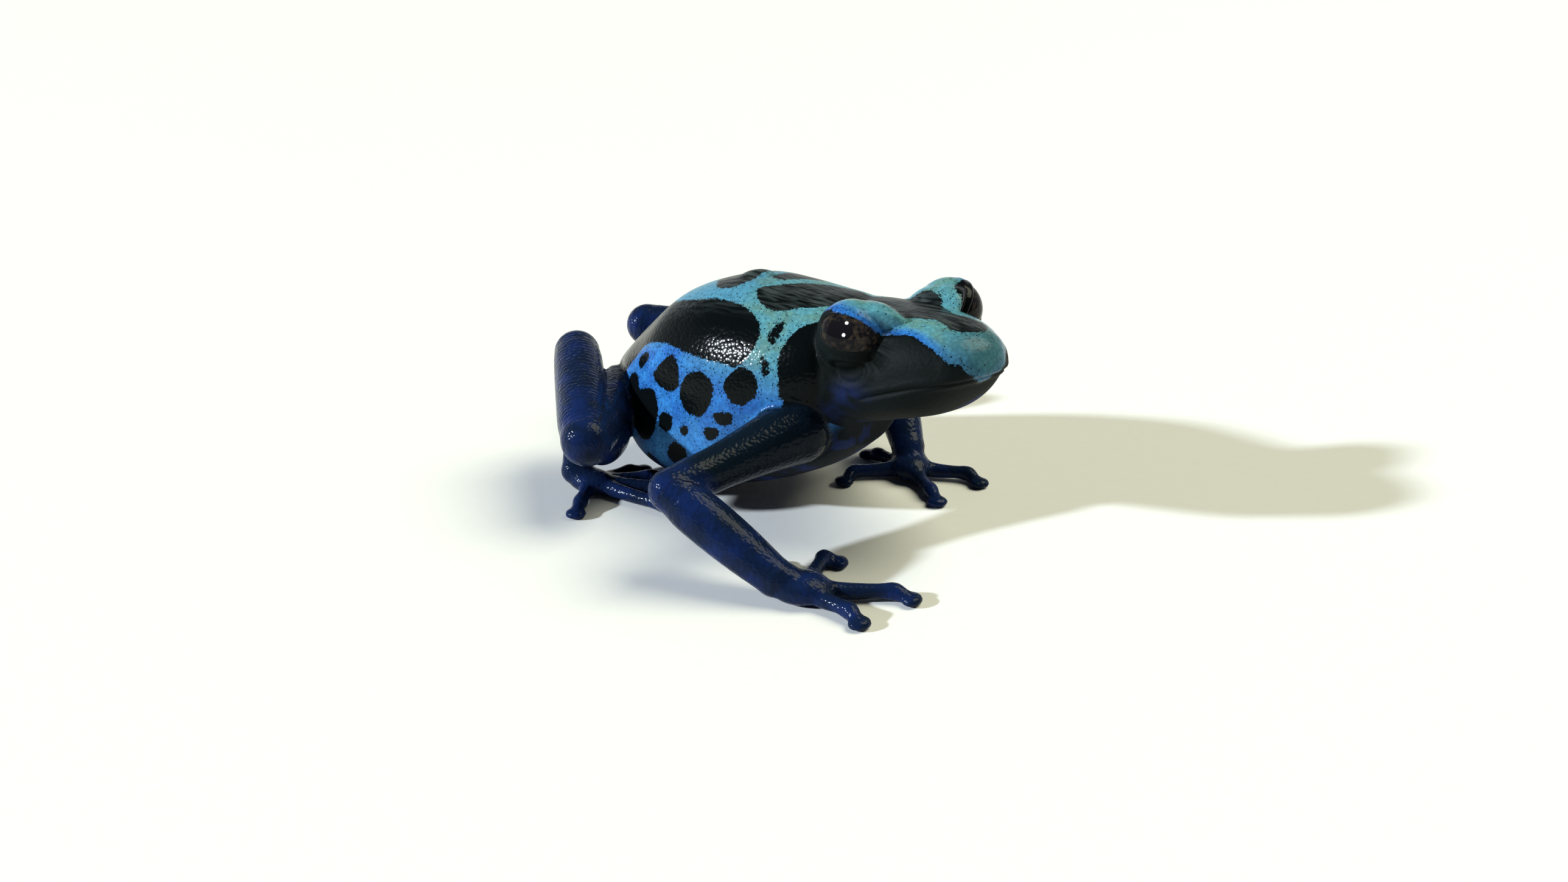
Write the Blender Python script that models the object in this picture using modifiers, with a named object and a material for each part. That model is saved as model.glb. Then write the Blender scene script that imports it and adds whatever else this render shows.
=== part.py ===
"""Blue poison dart frog, a still life-size model standing on its palms and toes.

The frog faces +X, its left side is +Y and the floor is z = 0. Lengths are written in millimetres.
The trunk, each arm and each leg are first shaped whole, as skin over a few rounded masses, and are
then parted at the joints by thin cuts, so that every piece meets its neighbour across one even gap.
"""

import math
from dataclasses import dataclass

import bmesh
import bpy
import numpy as np
from mathutils import Euler, Matrix, Vector
from mathutils.bvhtree import BVHTree

MM = 0.001

# Gap between neighbouring pieces, and the floor.
GAP = 0.3
FLOOR_DEPTH = 4.0
FLOOR_REACH = 100.0

# Head: its centre lies between the eyes, and it is turned and raised from the trunk's line.
HEAD_CENTRE = (13.9, 0.5, 19.3)
HEAD_TURN = -15.6
HEAD_RAISE = 12.9

# Eyes, in the head's own axes.
EYE_RADIUS = 2.32
EYE_CENTRE = (-0.7, 5.75, -0.1)
LID_RADIUS = 0.32
LID_CLEARANCE = 0.14
LID_REACH = (1.12, 0.78)
LID_OPENING = (2.7, 1.92, 2.4)
LID_DEPTH = 2.3
LID_TILT = 22.0
DOME_RADIUS = 3.05
DOME_DROP = -0.18

# The eyes look out, turned forward and up by these angles.
EYE_FORWARD = 30.0
EYE_UP = 15.0

# Ear ring, nostril and mouth line, in the head's own axes.
EAR_CENTRE = (-0.35, 9.0, -3.3)
EAR_REACH = (1.25, 0.95)
EAR_GROOVE = 0.2
EAR_STEPS = 24
NOSTRIL_CENTRE = (7.7, 3.3, -3.4)
NOSTRIL_RADIUS = 0.36
MOUTH_GROOVE = 0.3
MOUTH_LINE = ((0.0, -5.55), (1.4, -5.3), (3.0, -5.05), (5.2, -4.75), (7.6, -4.7), (8.8, -4.7))
MOUTH_TURN = 7.0
MOUTH_SIDE = 9.0
MOUTH_FRONT = 4.5

# The neck is parted behind the angle of the jaw, in the head's own axes.
NECK_CUT = (-6.2, 0.0, -4.0)

# A place inside each of the two trunk pieces, for telling them apart.
TRUNK_ANCHORS = {"head": (13.9, 0.5, 15.0), "torso": (-3.0, 0.0, 11.0)}

# Skin mesh: voxel sizes and the number of triangles that each whole form keeps.
TRUNK_VOXEL = 0.33
TRUNK_ROUNDS = 6
LIMB_VOXEL = 0.2
LIMB_ROUNDS = 5
TRUNK_TRIANGLES = 3300
ARM_TRIANGLES = 1150
LEG_TRIANGLES = 1600


@dataclass(frozen=True)
class Section:
    """One cross-section of the trunk or head: its place, width, height, middle, and how square it is.

    Squareness is that of the upper half and sag that of the lower: 2 is an ellipse.
    """

    x: float
    half_width: float
    top: float
    bottom: float
    widest: float
    squareness: float = 2.3
    middle: float = 0.0
    sag: float = 2.3

    def row(self):
        """The section as a key row, which starts with its place."""
        size = (self.half_width, self.top, self.bottom, self.widest, self.squareness, self.sag)
        return (self.x, self.middle, 0.0, *size)


TORSO = (
    Section(-20.1, 1.2, 9.9, 6.8, 8.6, 2.0, sag=2.0),
    Section(-19.0, 2.7, 11.0, 5.0, 8.4, 2.0, sag=2.0),
    Section(-16.8, 4.8, 13.0, 3.2, 8.0, 2.0, sag=2.3),
    Section(-13.4, 7.0, 16.0, 1.7, 7.6, 2.0, sag=2.7),
    Section(-9.5, 8.7, 18.9, 1.2, 7.6, 2.2, sag=3.0),
    Section(-5.5, 9.4, 20.5, 1.2, 8.2, sag=2.9),
    Section(-2.0, 9.6, 21.3, 1.5, 8.8, sag=2.7),
    Section(2.0, 9.3, 21.2, 2.5, 10.0, sag=2.5),
    Section(5.5, 8.6, 20.9, 3.9, 11.5),
    Section(8.5, 7.5, 20.6, 5.6, 13.0),
    Section(11.0, 5.6, 19.8, 7.7, 14.0),
)

HEAD = (
    Section(-8.9, 6.6, 2.6, -8.6, -4.6, middle=-2.2),
    Section(-6.4, 7.3, 2.4, -8.7, -4.8, middle=-1.2),
    Section(-3.2, 7.2, 1.9, -8.6, -4.9, middle=-0.3),
    Section(0.0, 6.7, 1.3, -8.3, -4.8),
    Section(2.7, 6.1, 0.8, -8.0, -4.6, 2.45),
    Section(5.0, 5.3, 0.2, -7.6, -4.3, 2.55),
    Section(7.0, 4.2, -0.6, -6.5, -4.0, 2.4),
    Section(8.3, 3.1, -1.3, -5.2, -3.6, 2.3),
    Section(9.0, 2.1, -2.0, -4.5, -3.3),
    Section(9.3, 1.2, -2.5, -4.1, -3.2, 2.0),
)

# Swellings of the trunk, each a centre and three radii. The brow is in the head's own axes.
HUMP = ((-1.8, 0.0, 18.2), (3.6, 3.0, 3.5))
SHOULDER = ((6.0, 5.4, 11.0), (3.6, 3.4, 4.2))
BROW = ((-0.4, 4.3, -0.4), (4.1, 3.0, 2.9))

# Joints of the limbs. A digit is a pair of plan points: its last joint and its disc.
ARMS = {
    "right": {
        "shoulder": (7.2, -6.6, 10.0),
        "elbow": (3.7, -19.4, 7.9),
        "wrist": (13.1, -17.6, 2.0),
        "palm": (15.0, -16.6, 1.25),
        "digits": (
            ((10.9, -14.4), (9.6, -13.4)),
            ((13.0, -10.6), (14.1, -10.0)),
            ((21.2, -12.1), (22.6, -11.8)),
            ((19.9, -16.8), (21.3, -17.4)),
        ),
    },
    "left": {
        "shoulder": (7.4, 6.6, 10.0),
        "elbow": (2.8, 15.2, 7.8),
        "wrist": (7.7, 11.0, 2.6),
        "palm": (8.7, 9.9, 1.25),
        "digits": (
            ((4.0, 11.2), (2.6, 11.4)),
            ((4.5, 6.1), (4.6, 4.3)),
            ((13.0, 6.7), (14.5, 5.5)),
            ((13.9, 12.2), (15.6, 11.6)),
        ),
    },
}

LEGS = {
    "right": {
        "hip": (-17.2, -3.8, 8.2),
        "knee": (-9.65, -16.0, 8.1),
        "heel": (-21.4, -5.6, 11.5),
        "ankle": (-16.5, -11.5, 1.9),
        "sole": (-14.6, -11.3, 1.2),
    },
    "left": {
        "hip": (-17.2, 3.8, 8.2),
        "knee": (-10.6, 16.4, 8.1),
        "heel": (-24.0, 7.4, 10.8),
        "ankle": (-19.6, 12.9, 1.9),
        "sole": (-17.4, 12.7, 1.2),
    },
}

# Toes fan out from the sole: how far each reaches, and its bearing from the frog's forward line.
TOE_FAN = ((6.3, 80.0), (7.8, 54.0), (9.8, 28.5), (11.4, 3.0), (5.9, -59.0))
TOE_LAST_JOINT = 1.9
FINGER_START = 3.0
TOE_START = 4.1

UPPER_ARM_RADII = (3.1, 2.4, 1.95, 2.05)
FOREARM_RADII = (2.0, 2.1, 1.98, 1.65)
THIGH_RADII = (2.4, 2.35, 2.4, 2.55)
SHANK_RADII = (2.55, 2.55, 2.5, 2.4)
TARSUS_RADII = (2.0, 1.25, 1.2, 1.35)
WRIST_RADII = (1.7, 1.5, 1.25)
ANKLE_RADII = (1.45, 1.2)
FINGER_RADII = (0.95, 0.72, 0.78, 0.6)
TOE_RADII = (0.9, 0.72, 0.78, 0.6)
DISC_RADII = (1.05, 0.9, 0.5)
PALM_RADII = (2.6, 2.0, 1.35)
SOLE_RADII = (2.6, 1.7, 1.2)

# The thigh's flesh hangs below the line from hip to knee: its three radii, and how far it hangs.
THIGH_BULK = (5.2, 2.35, 3.2)
THIGH_SAG = 1.7

# Heights of the digits above the floor: at the palm, the sole, the shaft, the last joint and the disc.
PALM_ROOT = 1.1
SOLE_ROOT = 1.05
SHAFT_HEIGHT = 0.86
KNUCKLE_HEIGHT = 0.82
DISC_HEIGHT = 0.42

# How far the slabs that part the joints reach, across and upright.
ELBOW_SLAB = (5.0, 5.0)
WRIST_SLAB = (3.4, 3.4)
KNEE_SLAB = (4.6, 20.0)
HEEL_SLAB = (4.6, 13.0)
ANKLE_SLAB = (2.6, 2.6)
DIGIT_SLAB = (0.98, 1.6)
NECK_SLAB = (14.0, 14.0)

NAVY = (0.012, 0.013, 0.09)
BLUE = (0.02, 0.16, 0.55)
TEAL = (0.03, 0.3, 0.34)
BLACK = (0.004, 0.004, 0.006)


def point(place):
    """A place in millimetres as a vector in metres."""
    return Vector(place) * MM


def head_matrix():
    """Places the head's own axes in the frog's frame."""
    turn = Euler((0.0, math.radians(-HEAD_RAISE), math.radians(HEAD_TURN)), "XYZ")
    return Matrix.Translation(point(HEAD_CENTRE)) @ turn.to_matrix().to_4x4()


def clear_scene():
    """Remove whatever the scene holds."""
    for found in list(bpy.data.objects):
        bpy.data.objects.remove(found, do_unlink=True)


def new_collection(name):
    """A collection linked to the scene."""
    made = bpy.data.collections.new(name)
    bpy.context.scene.collection.children.link(made)
    return made


def new_object(name, bm, collection):
    """Turn a bmesh into a linked object and free the bmesh."""
    mesh = bpy.data.meshes.new(name)
    bm.to_mesh(mesh)
    bm.free()
    made = bpy.data.objects.new(name, mesh)
    collection.objects.link(made)
    return made


def bake(thing):
    """Apply every modifier of an object to its mesh."""
    bpy.context.view_layer.update()
    evaluated = thing.evaluated_get(bpy.context.evaluated_depsgraph_get())
    mesh = bpy.data.meshes.new_from_object(evaluated)
    thing.modifiers.clear()
    thing.data = mesh
    return thing


def triangle_count(mesh):
    """Triangles that the polygons of a mesh make."""
    return sum(len(face.vertices) - 2 for face in mesh.polygons)


def smooth_run(keys, step):
    """Rows read from one smooth curve through the key rows, whose first three columns are a place."""
    keys = np.array([tuple(key) for key in keys], dtype=float)
    spans = np.linalg.norm(np.diff(keys[:, :3], axis=0), axis=1)
    along = np.concatenate(([0.0], np.cumsum(spans)))
    slopes = np.gradient(keys, along, axis=0)
    rows = []
    for start, (near, far) in enumerate(zip(along[:-1], along[1:])):
        span = far - near
        for part in np.arange(0.0, 1.0, 1.0 / max(1, round(span / step))):
            square, cube = part * part, part ** 3
            rows.append(
                keys[start] * (2 * cube - 3 * square + 1)
                + slopes[start] * span * (cube - 2 * square + part)
                + keys[start + 1] * (3 * square - 2 * cube)
                + slopes[start + 1] * span * (cube - square)
            )
    rows.append(keys[-1])
    return np.array(rows)


def add_ring(bm, shape, sides):
    """One ring of a loft; shape turns the cosine and sine round the ring into a place in metres."""
    verts = bmesh.ops.create_circle(bm, segments=sides, radius=1.0)["verts"]
    edges = list(dict.fromkeys(edge for vert in verts for edge in vert.link_edges))
    for vert in verts:
        vert.co = shape(vert.co.x, vert.co.y)
    return edges


def add_loft(bm, shapes, sides, endless=False):
    """Bridge rings into one tube, which is closed at its two ends or runs round into itself."""
    rings = [add_ring(bm, shape, sides) for shape in shapes]
    for near, far in zip(rings[:-1], rings[1:]):
        bmesh.ops.bridge_loops(bm, edges=near + far)
    if endless:
        bmesh.ops.bridge_loops(bm, edges=rings[-1] + rings[0])
        return
    for ring in (rings[0], rings[-1]):
        bmesh.ops.contextual_create(bm, geom=ring)


def bent(value, power):
    """A signed power, which squares up a round section."""
    return math.copysign(abs(value) ** power, value)


def section_shape(row, matrix):
    """The outline of one trunk or head section, from a row made of a Section's fields."""
    x, middle, _, half_width, top, bottom, widest, squareness, sag = row

    def shape(cosine, sine):
        rise = top - widest if sine > 0 else widest - bottom
        power = 2.0 / (squareness if sine > 0 else sag)
        across = middle + half_width * bent(cosine, power)
        place = point((x, across, widest + rise * bent(sine, power)))
        return matrix @ place

    return shape


def add_sections(bm, sections, matrix, step=0.8, sides=40):
    """Loft the trunk or the head through its sections."""
    rows = smooth_run([section.row() for section in sections], step)
    add_loft(bm, [section_shape(row, matrix) for row in rows], sides)


def limb_shape(centre, across, upward):
    """A round section of a limb."""
    return lambda cosine, sine: centre + across * cosine + upward * sine


def add_limb(bm, keys, step=0.5, sides=16):
    """Loft a limb through rows x, y, z, radius, with its two ends rounded."""
    rows = smooth_run(keys, step)
    lines = np.gradient(rows[:, :3], axis=0)
    shapes = []
    for place, line in zip(rows, lines):
        along = Vector(line).normalized()
        across = along.cross(Vector((0.31, 0.17, 0.93))).normalized()
        upward = across.cross(along)
        radius = place[3] * MM
        shapes.append(limb_shape(point(place[:3]), across * radius, upward * radius))
    add_loft(bm, shapes, sides)
    for place in (rows[0], rows[-1]):
        add_ball(bm, place[:3], (place[3],) * 3)


def add_ball(bm, centre, radii, turn=0.0, matrix=None):
    """A ball or ellipsoid, turned about the vertical, in the frog's frame or in another."""
    frame = matrix or Matrix.Identity(4)
    size = Matrix.Diagonal((*[radius * MM for radius in radii], 1.0))
    place = frame @ Matrix.Translation(point(centre)) @ Matrix.Rotation(turn, 4, "Z") @ size
    bmesh.ops.create_uvsphere(bm, u_segments=20, v_segments=12, radius=1.0, matrix=place)


def blend_radii(start, end, radii):
    """Rows of a straight limb with its radii spread evenly from start to end."""
    start, end = np.array(start), np.array(end)
    parts = np.linspace(0.0, 1.0, len(radii))
    return [(*(start + (end - start) * part), radius) for part, radius in zip(parts, radii)]


def add_digit(bm, root, joint, disc, radii):
    """A finger or toe: it leaves the palm, swells at its last joint and ends in a flat disc."""
    root = Vector(root)
    joint = Vector((*joint, KNUCKLE_HEIGHT))
    disc = Vector((*disc, DISC_HEIGHT))
    middle = root.lerp(joint, 0.55)
    middle.z = SHAFT_HEIGHT
    base, shaft, knuckle, neck = radii
    keys = [
        (*root, base),
        (*middle, shaft),
        (*root.lerp(joint, 0.86), shaft * 0.93),
        (*joint, knuckle),
        (*joint.lerp(disc, 0.55), neck),
        (*disc, neck * 0.8),
    ]
    add_limb(bm, keys, step=0.4, sides=14)
    turn = math.atan2(disc.y - joint.y, disc.x - joint.x)
    long, wide, high = DISC_RADII[1], DISC_RADII[0], DISC_RADII[2]
    add_ball(bm, disc, (long, wide, high), turn)


def fuse(name, bm, voxel, rounds, triangles, collection):
    """Skin over overlapping masses: one closed surface, smoothed, then thinned to a triangle count."""
    skin = new_object(name, bm, collection)
    remesh = skin.modifiers.new("Skin", "REMESH")
    remesh.mode = "VOXEL"
    remesh.voxel_size = voxel * MM
    smooth = skin.modifiers.new("Smooth", "SMOOTH")
    smooth.factor = 0.5
    smooth.iterations = rounds
    bake(skin)
    thin = skin.modifiers.new("Thin", "DECIMATE")
    thin.ratio = triangles / triangle_count(skin.data)
    thin.use_collapse_triangulate = True
    return bake(skin)


def cut(thing, cutter, folded=False):
    """Take a cutter out of an object and remove the cutter; a folded one may cross itself."""
    cutter.hide_render = True
    cutter.display_type = "WIRE"
    boolean = thing.modifiers.new("Cut", "BOOLEAN")
    boolean.operation = "DIFFERENCE"
    boolean.object = cutter
    boolean.use_self = folded
    bake(thing)
    bpy.data.objects.remove(cutter, do_unlink=True)
    return thing


def carve(thing, neighbour, cutters):
    """Fit an object round its neighbour, one gap clear of it."""
    shell = neighbour.copy()
    shell.data = neighbour.data.copy()
    cutters.objects.link(shell)
    swell = shell.modifiers.new("Swell", "DISPLACE")
    swell.strength = GAP * MM
    swell.mid_level = 0.0
    bake(shell)
    return cut(thing, shell, folded=True)


def slit(thing, centre, normal, reach, cutters, along=(0.0, 0.0, 1.0)):
    """Part an object by a thin flat slab, which reaches so far along and across the given line."""
    normal = Vector(normal).normalized()
    across = normal.cross(Vector(along)).normalized()
    upright = normal.cross(across)
    frame = Matrix((across, upright, normal)).transposed().to_4x4()
    size = Matrix.Diagonal((reach[0] * MM, reach[1] * MM, GAP * MM * 0.5, 1.0))
    bm = bmesh.new()
    bmesh.ops.create_cube(bm, size=2.0, matrix=Matrix.Translation(point(centre)) @ frame @ size)
    return cut(thing, new_object("slab", bm, cutters))


def cut_floor(thing, cutters):
    """Flatten what reaches the floor."""
    bm = bmesh.new()
    size = Matrix.Diagonal((FLOOR_REACH * MM, FLOOR_REACH * MM, FLOOR_DEPTH * MM, 1.0))
    place = Matrix.Translation((0.0, 0.0, -0.5 * FLOOR_DEPTH * MM))
    bmesh.ops.create_cube(bm, size=1.0, matrix=place @ size)
    return cut(thing, new_object("floor", bm, cutters))


def loose_parts(bm):
    """The separate closed surfaces of a bmesh, as lists of faces."""
    left = set(bm.faces)
    parts = []
    for face in bm.faces:
        if face not in left:
            continue
        left.discard(face)
        part, edge_of = [], [face]
        while edge_of:
            here = edge_of.pop()
            part.append(here)
            for edge in here.edges:
                for other in edge.link_faces:
                    if other in left:
                        left.discard(other)
                        edge_of.append(other)
        parts.append(part)
    return parts


def face_volume(face):
    """Six times the signed volume under one triangle or polygon, seen from the origin."""
    first = face.verts[0].co
    pairs = zip(face.verts[1:-1], face.verts[2:])
    return sum(first.dot(near.co.cross(far.co)) for near, far in pairs)


def part_out(thing, anchors, collection):
    """Make a named piece of the largest closed surface nearest to each anchor."""
    bm = bmesh.new()
    bm.from_mesh(thing.data)
    found = {}
    for part in loose_parts(bm):
        verts = list(dict.fromkeys(vert for face in part for vert in face.verts))
        centre = sum((vert.co for vert in verts), Vector()) / len(verts)
        name = min(anchors, key=lambda key: (centre - point(anchors[key])).length)
        volume = sum(face_volume(face) for face in part)
        if volume > found.get(name, (0.0, None))[0]:
            found[name] = (volume, [vert.index for vert in verts])
    bm.free()
    pieces = []
    for name, (_, kept) in found.items():
        bm = bmesh.new()
        bm.from_mesh(thing.data)
        chosen = set(kept)
        spare = [vert for vert in bm.verts if vert.index not in chosen]
        bmesh.ops.delete(bm, geom=spare, context="VERTS")
        bmesh.ops.triangulate(bm, faces=bm.faces[:])
        bmesh.ops.dissolve_degenerate(bm, edges=bm.edges[:], dist=0.002 * MM)
        pieces.append(new_object(name, bm, collection))
    bpy.data.objects.remove(thing, do_unlink=True)
    return pieces


def eye_matrix(side):
    """The eye's own axes in the frog's frame: its centre, with z along its line of sight and x level."""
    turn = math.radians(EYE_FORWARD)
    tip = math.radians(EYE_UP)
    sight = Vector((math.sin(turn) * math.cos(tip), side * math.cos(turn) * math.cos(tip), math.sin(tip)))
    level = Vector((0.0, 0.0, 1.0)).cross(sight).normalized()
    axes = Matrix((level, sight.cross(level), sight)).transposed().to_4x4()
    return head_matrix() @ Matrix.Translation(point(side_place(EYE_CENTRE, side))) @ axes


def lid_matrix(side):
    """The lids' own axes: those of the eye, with the opening tilted down towards the snout."""
    return eye_matrix(side) @ Matrix.Rotation(side * math.radians(LID_TILT), 4, "Z")


def lid_path(count=30):
    """Places round the eye opening, on a ball a little larger than the eye, in the lids' own axes."""
    reach = EYE_RADIUS + GAP + LID_CLEARANCE
    places = []
    for step in range(count):
        angle = math.tau * step / count
        level, rise = LID_REACH[0] * math.cos(angle), LID_REACH[1] * math.sin(angle)
        tilt = math.hypot(level, rise)
        ring = reach * math.sin(tilt) / tilt
        places.append((level * ring, rise * ring, reach * math.cos(tilt)))
    return places


def build_trunk(work):
    """The torso and head as one form, with the eye swellings, lids, jaw and hips."""
    head = head_matrix()
    bm = bmesh.new()
    add_sections(bm, TORSO, Matrix.Identity(4))
    add_sections(bm, HEAD, head)
    add_ball(bm, *HUMP)
    for side in (1, -1):
        add_ball(bm, side_place(BROW[0], side), BROW[1], matrix=head)
        add_ball(bm, side_place(SHOULDER[0], side), SHOULDER[1])
        eye = eye_matrix(side)
        add_ball(bm, (0.0, 0.0, DOME_DROP), (DOME_RADIUS,) * 3, matrix=eye)
        for place in lid_path():
            add_ball(bm, place, (LID_RADIUS,) * 3, matrix=lid_matrix(side))
    return fuse("trunk", bm, TRUNK_VOXEL, TRUNK_ROUNDS, TRUNK_TRIANGLES, work)


def side_place(place, side):
    """A place of the head's left side, or its mirror image."""
    return (place[0], side * place[1], place[2])


def skin_tree(trunk):
    """A search tree over the trunk's skin as it is now."""
    return BVHTree.FromObject(trunk, bpy.context.evaluated_depsgraph_get())


def groove(trunk, places, radius, cutters, endless=False):
    """Cut a groove along the skin: a thin tube that runs through the given places on it."""
    places = np.array(places)
    if endless:
        runs = np.roll(places, -1, axis=0) - np.roll(places, 1, axis=0)
    else:
        runs = np.gradient(places, axis=0)
    shapes = []
    for place, run in zip(places, runs):
        along = Vector(run).normalized()
        across = along.cross(Vector((0.1, 0.0, 1.0))).normalized()
        shapes.append(limb_shape(point(place), across * radius * MM, across.cross(along) * radius * MM))
    bm = bmesh.new()
    add_loft(bm, shapes, 8, endless)
    bmesh.ops.recalc_face_normals(bm, faces=bm.faces[:])
    return cut(trunk, new_object("groove", bm, cutters))


def cut_mouth(trunk, cutters):
    """The mouth line, from one corner round the snout to the other, close on the skin."""
    head = head_matrix()
    tree = skin_tree(trunk)
    line = [(x, MOUTH_SIDE if x < MOUTH_TURN else MOUTH_FRONT, z) for x, z in MOUTH_LINE]
    line[-1] = (MOUTH_LINE[-1][0], 0.0, MOUTH_LINE[-1][1])
    whole = [side_place(place, 1) for place in line] + [side_place(place, -1) for place in line[-2::-1]]
    keys = [tree.find_nearest(head @ point(place))[0] / MM for place in whole]
    snug = [tree.find_nearest(point(row))[0] / MM for row in smooth_run(keys, 1.6)]
    groove(trunk, smooth_run(snug, 1.0), MOUTH_GROOVE, cutters)


def cut_ear(trunk, side, cutters):
    """The groove round the ear's disc, on the cheek below the eye."""
    head = head_matrix()
    inward = head.to_3x3() @ Vector((0.0, -side, 0.0))
    tree = skin_tree(trunk)
    places = []
    for step in range(EAR_STEPS):
        angle = math.tau * step / EAR_STEPS
        x = EAR_CENTRE[0] + EAR_REACH[0] * math.cos(angle)
        z = EAR_CENTRE[2] + EAR_REACH[1] * math.sin(angle)
        places.append(tree.ray_cast(head @ point((x, side * EAR_CENTRE[1], z)), inward)[0] / MM)
    groove(trunk, places, EAR_GROOVE, cutters, endless=True)


def detail_head(trunk, cutters):
    """Cut the eye sockets and openings, the ear rings, nostrils and mouth line."""
    head = head_matrix()
    for side in (1, -1):
        cut_ear(trunk, side, cutters)
        bm = bmesh.new()
        reach = EYE_RADIUS + GAP
        place = head @ Matrix.Translation(point(side_place(EYE_CENTRE, side)))
        bmesh.ops.create_icosphere(bm, subdivisions=3, radius=reach * MM, matrix=place)
        cut(trunk, new_object("socket", bm, cutters))
        bm = bmesh.new()
        add_ball(bm, (0.0, 0.0, LID_DEPTH), LID_OPENING, matrix=lid_matrix(side))
        cut(trunk, new_object("opening", bm, cutters))
        skin = skin_tree(trunk).find_nearest(head @ point(side_place(NOSTRIL_CENTRE, side)))[0]
        bm = bmesh.new()
        bmesh.ops.create_icosphere(
            bm, subdivisions=2, radius=NOSTRIL_RADIUS * MM, matrix=Matrix.Translation(skin)
        )
        cut(trunk, new_object("nostril", bm, cutters))
    cut_mouth(trunk, cutters)


def build_eye(side, name, collection):
    """The eyeball, whole behind the lids."""
    bm = bmesh.new()
    place = head_matrix() @ Matrix.Translation(point(side_place(EYE_CENTRE, side)))
    bmesh.ops.create_icosphere(bm, subdivisions=3, radius=EYE_RADIUS * MM, matrix=place)
    return new_object(name, bm, collection)


def slit_digits(limb, root, digits, start, cutters):
    """Part each digit from the palm or sole, a little way out along its run."""
    for joint, _ in digits:
        run = Vector((*joint, KNUCKLE_HEIGHT)) - Vector(root)
        place = Vector(root) + run.normalized() * start
        slit(limb, place, run, DIGIT_SLAB, cutters)


def digit_anchors(kind, side, root, digits, start):
    """A place inside each digit, for telling the pieces apart."""
    anchors = {}
    for number, (joint, disc) in enumerate(digits, start=1):
        run = Vector((*joint, KNUCKLE_HEIGHT)) - Vector(root)
        begin = Vector(root) + run.normalized() * start
        end = Vector((*disc, DISC_HEIGHT))
        anchors[f"{kind}_{number}_{side}"] = tuple(begin.lerp(end, 0.6))
    return anchors


def between(start, end, part):
    """A place part of the way from one place to another."""
    return tuple(Vector(start).lerp(Vector(end), part))


def build_arm(side, trunk, work, cutters, collection):
    """One arm: upper arm, forearm, palm and four fingers."""
    arm = ARMS[side]
    bm = bmesh.new()
    add_limb(bm, blend_radii(arm["shoulder"], arm["elbow"], UPPER_ARM_RADII))
    add_limb(bm, blend_radii(arm["elbow"], arm["wrist"], FOREARM_RADII))
    add_limb(bm, blend_radii(arm["wrist"], arm["palm"], WRIST_RADII))
    run = Vector(arm["palm"]) - Vector(arm["wrist"])
    add_ball(bm, arm["palm"], PALM_RADII, math.atan2(run.y, run.x))
    for joint, disc in arm["digits"]:
        add_digit(bm, (*arm["palm"][:2], PALM_ROOT), joint, disc, FINGER_RADII)
    whole = fuse(f"arm_{side}", bm, LIMB_VOXEL, LIMB_ROUNDS, ARM_TRIANGLES, work)
    carve(whole, trunk, cutters)
    cut_floor(whole, cutters)
    fold = (Vector(arm["shoulder"]) - Vector(arm["elbow"])).normalized()
    fold -= (Vector(arm["wrist"]) - Vector(arm["elbow"])).normalized()
    slit(whole, arm["elbow"], fold, ELBOW_SLAB, cutters)
    slit(whole, arm["wrist"], Vector(arm["palm"]) - Vector(arm["elbow"]), WRIST_SLAB, cutters)
    slit_digits(whole, arm["palm"], arm["digits"], FINGER_START, cutters)
    anchors = {
        f"upper_arm_{side}": between(arm["shoulder"], arm["elbow"], 0.6),
        f"forearm_{side}": between(arm["elbow"], arm["wrist"], 0.5),
        f"palm_{side}": arm["palm"],
        **digit_anchors("finger", side, arm["palm"], arm["digits"], FINGER_START),
    }
    return part_out(whole, anchors, collection)


def fan_toes(side):
    """The last joint and disc of each toe of one foot, spread from its sole."""
    turn = 1.0 if side == "right" else -1.0
    sole = Vector(LEGS[side]["sole"]).to_2d()
    toes = []
    for reach, bearing in TOE_FAN:
        angle = turn * math.radians(bearing)
        run = Vector((math.cos(angle), math.sin(angle)))
        toes.append((tuple(sole + run * (reach - TOE_LAST_JOINT)), tuple(sole + run * reach)))
    return toes


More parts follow.
